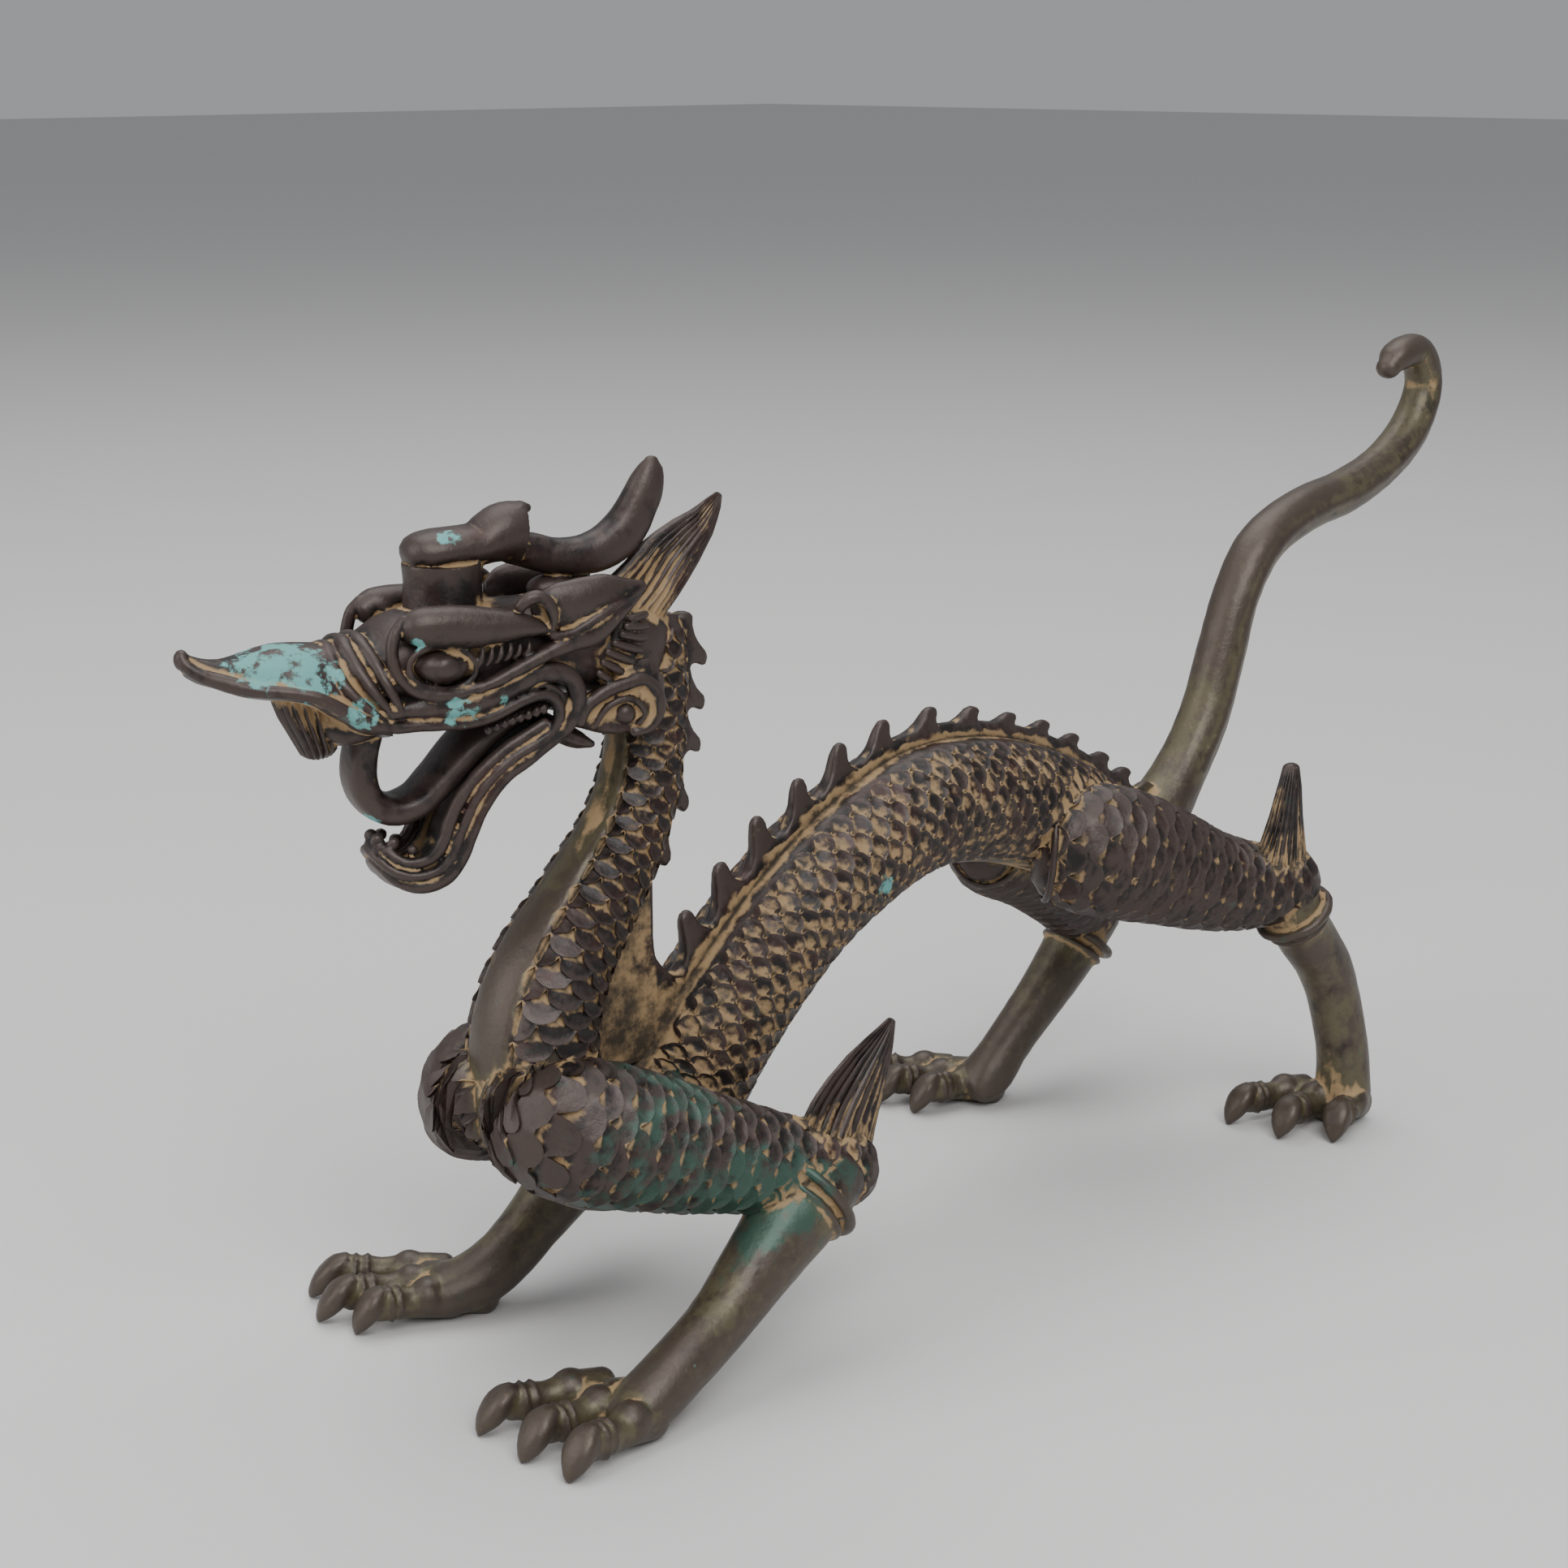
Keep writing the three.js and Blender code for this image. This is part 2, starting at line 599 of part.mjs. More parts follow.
// A three.js geometry becomes a solid once vertices that coincide are one.
function fromGeometry(geometry) {
  const plain = geometry.index ? geometry.toNonIndexed() : geometry;
  const position = plain.getAttribute('position');
  const seen = new Map();
  const vertices = [];
  const corner = [];
  for (let i = 0; i < position.count; i += 1) {
    const v = new THREE.Vector3().fromBufferAttribute(position, i);
    const key = [v.x, v.y, v.z].map((n) => n.toFixed(4)).join();
    if (!seen.has(key)) {
      seen.set(key, vertices.push(v) - 1);
    }
    corner.push(seen.get(key));
  }
  const triangles = [];
  for (let i = 0; i < corner.length; i += 3) {
    const [a, b, c] = corner.slice(i, i + 3);
    if (a !== b && b !== c && c !== a) {
      triangles.push([a, b, c]);
    }
  }
  return solid(vertices, triangles);
}

// The neck follows the head's turn at the nape and is untwisted by the time it meets the chest.
function trunkLateral(t) {
  const turn = HEAD_TURN * (1 - THREE.MathUtils.smoothstep(t, 0, 0.22));
  return SIDEWAYS.clone().applyAxisAngle(new THREE.Vector3(0, 0, 1), -THREE.MathUtils.degToRad(turn));
}

// Above the skin the back's teeth stand tallest up the chest and shrink over the hump.
const backTooth = (along) => 1.6 + 3.0 * (1 - THREE.MathUtils.smoothstep(along, 0.3, 0.62));

function trunk() {
  return [
    scaledSkin(onPlane(TRUNK), trunkColumns(8), BODY_SCALE_PITCH, trunkLateral),
    crest(TRUNK, NECK_CREST, 5, 1.6, () => 2.4),
    crest(TRUNK, BACK_CREST, 15, 2.2, backTooth),
    crook(),
    sweep(TAIL, 7, 17),
  ];
}

// ---- legs --------------------------------------------------------------------------------

// A toe from its root to its claw: [share of the length, height, half width, half height].
// It humps at the knuckle, swells at the cuticle and ends in a claw that touches the ground.
const TOE = [
  [-0.16, 3.0, 2.6, 3.4],
  [0.16, 3.2, 2.8, 3.4],
  [0.42, 3.4, 2.1, 2.4],
  [0.64, 3.7, 2.3, 2.7],
  [0.84, 3.0, 2.2, 2.6],
  [0.96, 1.6, 1.6, 1.9],
  [1.0, 0.6, 0.8, 0.9],
];

function foot(toes, ankle, side) {
  const parts = toes.map(([[rootX, rootY], [clawX, clawY]]) => {
    const root = new THREE.Vector3(rootX, side * rootY, 0);
    const reach = new THREE.Vector3(clawX, side * clawY, 0).sub(root);
    const sideways = new THREE.Vector3(0, 0, 1).cross(reach).normalize().negate();
    const stations = TOE.map(([share, height, w, h]) => {
      const at = root.clone().addScaledVector(reach, share);
      return [at.x, at.y, height, w, h];
    });
    return sweep(stations, 5, 6, sideways);
  });
  // The web of the foot joins the three roots to the ankle.
  const [near, middle, far] = toes.map(([[x, y]]) => new THREE.Vector3(x, side * y, 3.4));
  const [x, y] = ankle;
  const web = [near, middle, far].map((p) => [p.x, p.y, p.z, 3.0, 2.6]);
  const heel = [[x + 1.6, side * y, 3.0, 4.2, 4.2], [middle.x, middle.y, 2.8, 4.4, 4.2]];
  return [...parts, sweep(web, 5, 2, new THREE.Vector3(1, 0, 0)), sweep(heel, 6, 1)];
}

// A raised welt bent round the front of a shoulder or haunch, where it meets the flank.
function welt([x, z], [halfLength, halfHeight], y, thick) {
  const stations = [];
  for (let i = 0; i <= 7; i += 1) {
    const angle = THREE.MathUtils.degToRad(75 + 30 * i);
    stations.push([x + halfLength * Math.cos(angle), y, z + halfHeight * Math.sin(angle), thick, thick]);
  }
  return sweep(stations, 4, 7);
}

function leg({ side, upper, lower, fin, toes }) {
  const mirror = (stations) => stations.map(([x, y, z, w, h]) => [x, side * y, z, w, h]);
  const [x, y, z] = upper[3];
  return [
    scaledSkin(mirror(upper), limbColumns(10), LEG_SCALE_PITCH),
    welt([x, z], [10.2, upper[3][4] + 0.4], side * y, 1.4),
    sweep(mirror(lower), 7, 5),
    sweep(mirror(fin), 6, 4),
    ...foot(toes, lower[lower.length - 2], side),
  ];
}

// ---- head --------------------------------------------------------------------------------

const HEAD_FORWARD = new THREE.Vector3(-1, 0, 0)
  .applyAxisAngle(new THREE.Vector3(0, 0, 1), -THREE.MathUtils.degToRad(HEAD_TURN));
const HEAD_UP = new THREE.Vector3(0, 0, 1);
const HEAD_LEFT = new THREE.Vector3().crossVectors(HEAD_UP, HEAD_FORWARD);
const toHead = ({ x, y, z }) => new THREE.Vector3(...HEAD_PIVOT)
  .addScaledVector(HEAD_FORWARD, x)
  .addScaledVector(HEAD_LEFT, y)
  .addScaledVector(HEAD_UP, z);

const headSweep = (stations, sides, steps) => sweep(stations, sides, steps, SIDEWAYS, toHead);
const flipSide = (stations) => stations.map(([u, v, w, a, b]) => [u, -v, w, a, b]);
const pair = (stations, sides, steps) => [
  headSweep(stations, sides, steps),
  headSweep(flipSide(stations), sides, steps),
];

// The leaf-shaped snout: a ridge with falling sides, each station a six-point section.
function snout() {
  const vertices = [];
  const triangles = [];
  SNOUT.forEach(([u, ridge, half, edge, thick]) => {
    const mid = edge + 0.72 * (ridge - edge);
    const section = [
      [0, ridge], [half * 0.55, mid], [half, edge],
      [half * 0.7, edge - 0.5 * thick], [0, ridge - 1.6 * thick], [-half * 0.7, edge - 0.5 * thick],
      [-half, edge], [-half * 0.55, mid],
    ];
    vertices.push(...section.map(([v, w]) => toHead({ x: u, y: v, z: w })));
  });
  bridgeRings(triangles, SNOUT.length - 1, 8);
  capRing(vertices, triangles, 0, 8, true);
  capRing(vertices, triangles, (SNOUT.length - 1) * 8, 8, false);
  return solid(vertices, triangles);
}

// The lower jaw: an open trough that drops, turns and curls up at the chin.
function jaw() {
  const route = makeRoute(JAW);
  const vertices = [];
  const triangles = [];
  const steps = 9;
  for (let i = 0; i <= steps; i += 1) {
    const frame = frameAt(route, i / steps, SIDEWAYS);
    const wide = frame.halfWidth;
    const deep = frame.halfHeight;
    const section = [
      [-wide, deep], [-wide, 0.9], [-0.55 * wide, 0], [0.55 * wide, 0],
      [wide, 0.9], [wide, deep], [wide - 1.8, deep], [0.5 * wide, 1.4], [-0.5 * wide, 1.4],
      [1.8 - wide, deep],
    ];
    for (const [v, w] of section) {
      const point = frame.at.clone().addScaledVector(frame.side, v).addScaledVector(frame.up, w);
      vertices.push(toHead(point));
    }
  }
  bridgeRings(triangles, steps, 10);
  for (const [first, atStart] of [[0, true], [steps * 10, false]]) {
    // The trough's end is closed as two walls and a floor.
    const order = [[0, 1, 8], [0, 8, 9], [1, 2, 8], [2, 3, 8], [3, 7, 8], [3, 4, 7], [4, 5, 6], [4, 6, 7]];
    for (const [a, b, c] of order) {
      triangles.push((atStart ? [a, c, b] : [a, b, c]).map((n) => n + first));
    }
  }
  return solid(vertices, triangles);
}

function eyes() {
  return [-1, 1].map((side) => {
    const ball = new THREE.SphereGeometry(1, 8, 5);
    ball.scale(3.5, 2.0, 2.3);
    ball.translate(30.6, side * 8.8, 10.8);
    const position = ball.getAttribute('position');
    for (let i = 0; i < position.count; i += 1) {
      const v = toHead(new THREE.Vector3().fromBufferAttribute(position, i));
      position.setXYZ(i, v.x, v.y, v.z);
    }
    return fromGeometry(ball);
  });
}

// Short ribs fanned out behind the ear's lower blade, on the finished left side only.
function comb() {
  const ribs = [];
  for (let i = 0; i < COMB_RIBS; i += 1) {
    const f = i / (COMB_RIBS - 1);
    const fall = THREE.MathUtils.degToRad(-2 + 48 * f);
    const root = [6.0 + 4.0 * f, 8.4, 13.0 - 7.4 * f];
    const reach = 5.2 - 1.4 * f;
    const tip = [root[0] - reach * Math.cos(fall), 7.6, root[2] - reach * Math.sin(fall)];
    ribs.push(headSweep([[...root, 0.9, 0.6], [...tip, 0.8, 0.5]], 4, 1));
  }
  return ribs;
}

// The rolled curl under the cheek: a rod wound once and a half inwards.
function cheekCurl() {
  const stations = [];
  for (let i = 0; i <= 9; i += 1) {
    const angle = 0.6 - (i / 9) * 2.3 * Math.PI;
    const radius = 3.0 - 2.1 * (i / 9);
    stations.push([4.6 + radius * Math.cos(angle), 8.6, 1.4 + radius * Math.sin(angle), 1.1, 0.9]);
  }
  return [headSweep(stations, 4, 8)];
}

function head() {
  return [
    headSweep(SKULL, 10, 5),
    snout(),
    headSweep(PALATE, 6, 2),
    jaw(),
    headSweep(TONGUE, 6, 8),
    headSweep(HORN_COLUMN, 8, 2),
    headSweep(HORN_BULB, 8, 6),
    headSweep(HORN, 7, 7),
    headSweep(TUFT, 7, 5),
    ...pair(LIP, 4, 9),
    ...pair(BROW, 6, 5),
    ...pair(BROW_CURL, 4, 3),
    headSweep(EYELID, 4, 5),
    ...pair(NOSTRIL, 4, 3),
    headSweep(NOSE_FOLD, 4, 3),
    ...pair(EAR, 6, 5),
    ...pair(EAR_BLADE, 4, 3),
    ...pair(CHEEK, 6, 4),
    ...eyes(),
    ...comb(),
    ...cheekCurl(),
  ];
}

// ---- one casting -------------------------------------------------------------------------

// Everything under the ground plane is trimmed off, which leaves flat soles.
function groundBlock() {
  const block = new THREE.BoxGeometry(400, 200, 40);
  block.translate(0, 0, -20);
  return fromGeometry(block);
}

const pieces = [...trunk(), ...LEGS.flatMap(leg), ...head()];
const fused = pieces.reduce((whole, piece) => whole.add(piece));
const casting = fused.subtract(groundBlock());

const mesh = casting.getMesh();
const geometry = new THREE.BufferGeometry();
geometry.setAttribute('position', new THREE.Float32BufferAttribute(mesh.vertProperties, 3));
geometry.setIndex(Array.from(mesh.triVerts));

// The origin goes under the middle of the bounding box, on the ground.
geometry.computeBoundingBox();
const middle = geometry.boundingBox.getCenter(new THREE.Vector3());
geometry.translate(-middle.x, -middle.y, 0);

const bronze = new THREE.MeshStandardMaterial({ color: 0x4a3a2e, roughness: 0.45, metalness: 0.7 });
const dragon = new THREE.Mesh(geometry, bronze);
dragon.name = 'dragon';

const sculpture = new THREE.Group();
sculpture.add(dragon);

export default sculpture;
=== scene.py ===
"""Finished surface of a cast bronze walking dragon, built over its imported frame.

All sizes in this script are millimetres in the maker's layout, where the dragon's middle
plane is y = 0, its head is towards -X and its left side towards -Y. The finished casting is
moved by ORIGIN_SHIFT and scaled to metres when it becomes one object.
"""

import json
import logging
import math
from dataclasses import dataclass, field
from enum import Enum
from typing import Callable, Sequence

import bpy
import numpy as np
from mathutils import Matrix, Vector, kdtree

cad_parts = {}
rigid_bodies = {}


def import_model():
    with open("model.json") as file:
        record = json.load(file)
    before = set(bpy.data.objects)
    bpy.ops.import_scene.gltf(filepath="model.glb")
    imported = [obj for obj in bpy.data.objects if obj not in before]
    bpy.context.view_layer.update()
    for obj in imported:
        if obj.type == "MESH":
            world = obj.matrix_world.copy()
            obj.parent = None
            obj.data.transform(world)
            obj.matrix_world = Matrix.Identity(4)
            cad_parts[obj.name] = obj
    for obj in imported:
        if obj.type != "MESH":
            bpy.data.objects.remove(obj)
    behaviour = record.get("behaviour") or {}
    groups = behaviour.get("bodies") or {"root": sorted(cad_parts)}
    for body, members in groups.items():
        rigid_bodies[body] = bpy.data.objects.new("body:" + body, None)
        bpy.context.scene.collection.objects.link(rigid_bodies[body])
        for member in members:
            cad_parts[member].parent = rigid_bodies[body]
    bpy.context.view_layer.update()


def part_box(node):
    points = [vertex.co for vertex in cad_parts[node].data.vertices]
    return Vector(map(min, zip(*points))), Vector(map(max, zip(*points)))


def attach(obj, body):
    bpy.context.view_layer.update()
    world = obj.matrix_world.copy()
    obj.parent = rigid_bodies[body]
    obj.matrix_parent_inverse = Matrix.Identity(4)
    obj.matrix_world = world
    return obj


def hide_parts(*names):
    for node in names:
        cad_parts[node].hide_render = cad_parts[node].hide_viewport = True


LOG = logging.getLogger("dragon")
Array = np.ndarray
Station = tuple[float, float, float, float, float]
Hint = Callable[[Array], Array]

MM = 0.001
ORIGIN_SHIFT = np.array([-2.6513, -5.7556, 0.0])
TRIANGLE_BUDGET = 196000
COARSE_CELL = 0.34
FINE_CELL = 0.2
CREASE_ANGLE = 48
TOOTH_SIZE_WOBBLE = 0.06
TOOTH_SEED = 11
BOX_CLEARANCE = 0.01
UNEVENNESS = ((0.08, 8.0, 3), (0.045, 3.0, 4))


# ---- smooth paths --------------------------------------------------------------------------


def spline(points: Array, t: Array, centripetal: bool) -> Array:
    """Evaluates a Catmull-Rom curve through points.

    Args:
        points: The points passed through, one a row.
        t: Fractions of the curve, from 0 to 1.
        centripetal: Whether knots are spaced by the root of their distance.

    Returns:
        One row for each fraction.
    """
    last = len(points) - 1
    reach = np.clip(t, 0.0, 1.0) * last
    i = np.minimum(reach.astype(int), last - 1)
    w = (reach - i)[:, None]
    padded = np.vstack([2 * points[0] - points[1], points, 2 * points[-1] - points[-2]])
    p0, p1, p2, p3 = (padded[i + k] for k in range(4))
    if centripetal:
        gaps = [np.maximum(np.linalg.norm(b - a, axis=1), 1e-8)[:, None] ** 0.5
                for a, b in ((p0, p1), (p1, p2), (p2, p3))]
        d0, d1, d2 = gaps
        m1 = ((p1 - p0) / d0 - (p2 - p0) / (d0 + d1) + (p2 - p1) / d1) * d1
        m2 = ((p2 - p1) / d1 - (p3 - p1) / (d1 + d2) + (p3 - p2) / d2) * d1
    else:
        m1, m2 = 0.5 * (p2 - p0), 0.5 * (p3 - p1)
    a = 2 * p1 - 2 * p2 + m1 + m2
    b = -3 * p1 + 3 * p2 - 2 * m1 - m2
    return ((a * w + b) * w + m1) * w + p1


class Route:
    """A path with a changing section, and a steady frame along it."""

    def __init__(self, stations: Sequence[Station], lateral: Hint | None = None) -> None:
        """Lays the path.

        Args:
            stations: Rows of x, y, z, half width and half height.
            lateral: Gives the sideways hint for an array of fractions.
        """
        table = np.array(stations, float)
        self.points = table[:, :3]
        self.sizes = table[:, 3:5]
        self.lateral = lateral or steady([0.0, 1.0, 0.0])
        self.dense = np.linspace(0, 1, 800)
        steps = np.linalg.norm(np.diff(spline(self.points, self.dense, True), axis=0), axis=1)
        self.travel = np.concatenate([[0.0], np.cumsum(steps)])

    @property
    def length(self) -> float:
        """Length of the path in millimetres."""
        return float(self.travel[-1])

    def fraction(self, distance: Array) -> Array:
        """Turns distances along the path into fractions."""
        return np.interp(distance, self.travel, self.dense)

    def frames(self, distance: Array) -> tuple[Array, Array, Array, Array]:
        """Finds the section frame at distances along the path.

        Args:
            distance: Millimetres from the start.

        Returns:
            Positions, side vectors, up vectors and half sizes.
        """
        t = self.fraction(np.asarray(distance, float))
        at = spline(self.points, t, True)
        ahead = spline(self.points, np.clip(t + 1e-3, 0, 1), True)
        behind = spline(self.points, np.clip(t - 1e-3, 0, 1), True)
        along = ahead - behind
        along /= np.linalg.norm(along, axis=1, keepdims=True)
        hint = self.lateral(t)
        side = hint - along * np.sum(hint * along, axis=1, keepdims=True)
        side /= np.linalg.norm(side, axis=1, keepdims=True)
        up = np.cross(along, side)
        return at, side, up, spline(self.sizes, t, False)


# ---- meshes --------------------------------------------------------------------------------


@dataclass
class Clay:
    """A pile of closed shells, as vertices and polygons."""

    verts: list[Array] = field(default_factory=list)
    faces: list[tuple[int, ...]] = field(default_factory=list)
    count: int = 0

    def add(self, verts: Array, faces: Sequence[tuple[int, ...]]) -> None:
        """Adds one closed shell.

        Args:
            verts: Its vertices.
            faces: Its polygons, by vertex number.
        """
        base = self.count
        self.verts.append(np.asarray(verts, float))
        self.faces.extend(tuple(i + base for i in face) for face in faces)
        self.count += len(verts)

    def take(self, other: "Clay") -> None:
        """Adds every shell of another pile."""
        if other.count:
            self.add(np.vstack(other.verts), other.faces)

    def moved(self, place: Callable[[Array], Array]) -> "Clay":
        """Copies the pile through a change of place.

        Args:
            place: Maps vertices to their new places.

        Returns:
            The moved copy.
        """
        copy = Clay()
        if self.count:
            copy.add(place(np.vstack(self.verts)), self.faces)
        return copy

    def to_object(self, name: str) -> bpy.types.Object:
        """Makes a Blender object of the pile.

        Args:
            name: The object's name.

        Returns:
            The object, linked to the scene.
        """
        mesh = bpy.data.meshes.new(name)
        mesh.from_pydata(np.vstack(self.verts).tolist(), [], self.faces)
        mesh.validate()
        obj = bpy.data.objects.new(name, mesh)
        bpy.context.collection.objects.link(obj)
        return obj


def grid_faces(rings: int, around: int, closed: bool = True) -> list[tuple[int, ...]]:
    """Lists the quads of a tube of rings, with a polygon at each end.

    Args:
        rings: Number of rings.
        around: Vertices in a ring.
        closed: Whether the two ends are closed.

    Returns:
        The polygons.
    """
    faces: list[tuple[int, ...]] = []
    for i in range(rings - 1):
        a = i * around
        for j in range(around):
            n = (j + 1) % around
            faces.append((a + j, a + n, a + n + around, a + j + around))
    if closed:
        faces.append(tuple(range(around))[::-1])
        faces.append(tuple((rings - 1) * around + j for j in range(around)))
    return faces


def signed_volume(verts: Array, faces: Sequence[tuple[int, ...]]) -> float:
    """Measures a closed shell's volume, negative if it is inside out.

    Args:
        verts: Its vertices.
        faces: Its polygons.

    Returns:
        The volume in cubic millimetres.
    """
    total = 0.0
    for face in faces:
        a = verts[face[0]]
        for k in range(1, len(face) - 1):
            total += float(np.dot(a, np.cross(verts[face[k]], verts[face[k + 1]])))
    return total / 6.0


def outward_shell(verts: Array, faces: Sequence[tuple[int, ...]]) -> Clay:
    """Makes one closed shell whose faces point outwards.

    Args:
        verts: Its vertices.
        faces: Its polygons, all wound the same way.

    Returns:
        The closed shell.
    """
    if signed_volume(verts, faces) < 0:
        faces = [face[::-1] for face in faces]
    clay = Clay()
    clay.add(verts, faces)
    return clay


def steady(direction: Sequence[float]) -> Hint:
    """Makes a sideways hint that is the same all along a path."""
    return lambda t: np.tile(direction, (len(t), 1))


@dataclass(frozen=True)
class Flutes:
    """Grooves that run along a sweep."""

    count: int = 0
    depth: float = 0.0
    sharp: float = 1.0


def sweep(stations: Sequence[Station], sides: int = 20, step: float = 0.8,
          lateral: Hint | None = None, power: float = 2.0,
          flutes: Flutes = Flutes(), rounded: bool = True) -> Clay:
    """Carries an oval section along a path.

    Args:
        stations: Rows of x, y, z, half width and half height.
        sides: Vertices in a ring.
        step: Distance between rings.
        lateral: Sideways hint of the path.
        power: Section roundness: 2 is an oval, more is boxier.
        flutes: Grooves along the sweep.
        rounded: Whether the two ends are domed.

    Returns:
        The closed shell.
    """
    route = Route(stations, lateral)
    rings = max(4, int(route.length / step) + 1)
    distance = np.linspace(0, route.length, rings)
    at, side, up, size = route.frames(distance)
    along = np.cross(side, up)
    if rounded:
        dome = np.array([0.93, 0.7, 0.38])
        for first in (True, False):
            k = 0 if first else -1
            sign = -1.0 if first else 1.0
            reach = min(size[k].min(), 3.0) * 0.7
            bulge = np.sqrt(1 - dome ** 2)
            more_at = at[k] + sign * along[k] * (reach * bulge)[:, None]
            more_size = size[k] * dome[:, None]
            if first:
                more_at, more_size = more_at[::-1], more_size[::-1]
            stack = (lambda a, b: np.vstack([b, a])) if first else (lambda a, b: np.vstack([a, b]))
            at, size = stack(at, more_at), stack(size, more_size)
            side = stack(side, np.tile(side[k], (3, 1)))
            up = stack(up, np.tile(up[k], (3, 1)))
    angle = 2 * np.pi * np.arange(sides) / sides
    cosine, sine = np.cos(angle), np.sin(angle)
    stretch = (np.abs(cosine) ** power + np.abs(sine) ** power) ** (-1.0 / power)
    if flutes.count:
        wave = 0.5 + 0.5 * np.cos(flutes.count * angle)
        stretch = stretch * (1 - flutes.depth * wave ** flutes.sharp)
    rings = len(at)
    verts = (at[:, None, :]
             + up[:, None, :] * (size[:, 1, None] * (cosine * stretch))[..., None]
             + side[:, None, :] * (size[:, 0, None] * (sine * stretch))[..., None])
    verts = verts.reshape(-1, 3)
    return outward_shell(verts, grid_faces(rings, sides))


def ellipsoid(centre: Sequence[float], radii: Sequence[float], turn: float = 0.0,
              rows: int = 12, around: int = 18) -> Clay:
    """Makes an ellipsoid.

    Args:
        centre: Its middle.
        radii: Half sizes along x, y and z.
        turn: Rotation about the vertical, in radians.
        rows: Rings from pole to pole.
        around: Vertices in a ring.

    Returns:
        The closed shell.
    """
    lat = np.linspace(0.12, np.pi - 0.12, rows)
    lon = 2 * np.pi * np.arange(around) / around
    ring = np.stack([np.outer(np.sin(lat), np.cos(lon)), np.outer(np.sin(lat), np.sin(lon)),
                     np.outer(np.cos(lat), np.ones(around))], axis=-1).reshape(-1, 3)
    verts = ring * np.array(radii)
    c, s = math.cos(turn), math.sin(turn)
    verts = verts @ np.array([[c, s, 0], [-s, c, 0], [0, 0, 1]]) + np.array(centre)
    return outward_shell(verts, grid_faces(rows, around))


def mirrored(stations: Sequence[Station]) -> list[Station]:
    """Mirrors stations across the middle plane."""
    return [(x, -y, z, a, b) for x, y, z, a, b in stations]


def evaluated_mesh(obj: bpy.types.Object) -> bpy.types.Mesh:
    """Makes a plain mesh of an object with its modifiers applied.

    Args:
        obj: The object.

    Returns:
        The new mesh.
    """
    graph = bpy.context.evaluated_depsgraph_get()
    graph.update()
    return bpy.data.meshes.new_from_object(obj.evaluated_get(graph))


def bake(obj: bpy.types.Object) -> None:
    """Applies an object's modifiers to it.

    Args:
        obj: The object.
    """
    mesh = evaluated_mesh(obj)
    old = obj.data
    obj.modifiers.clear()
    obj.data = mesh
    bpy.data.meshes.remove(old)


# ---- scaled skins --------------------------------------------------------------------------


@dataclass(frozen=True)
class ScalePattern:
    """Size and relief of overlapping scales."""

    pitch: float = 1.88
    lift: float = 0.46
    sink: float = 0.36
    rim: float = 0.10
    fine: int = 8

    def arc(self, across: Array, row: Array) -> Array:
        """Shape of a scale's free edge."""
        off = np.mod(across - 0.5 * np.mod(row, 2), 1.0) - 0.5
        return 0.06 + 0.88 * np.sqrt(np.clip(1 - (2 * off) ** 2, 0, 1)) ** 1.15

    def height(self, to_edge: Array) -> Array:
        """Relief of a scale against the distance to its free edge.

        Args:
            to_edge: Millimetres to the free edge.

        Returns:
            Height over the skin in millimetres.
        """
        along = 1 - np.clip(to_edge / (2 * self.pitch), 0, 1)
        slope = -self.sink + (self.lift + self.sink) * along ** 0.8
        rim = self.rim * np.exp(-(to_edge / 0.34) ** 2)
        hollow = 0.10 * np.exp(-((to_edge - 0.85) / 0.4) ** 2)
        return slope + rim - hollow


@dataclass(frozen=True)
class SkinSpan:
    """Which stretch of a route a scaled skin covers, and how it is divided."""

    start: float
    stop: float
    scales: float
    crest_angle: float = 20.0
    belly_angle: float = 30.0
    belly_lift: float = 0.35
    all_round: bool = False


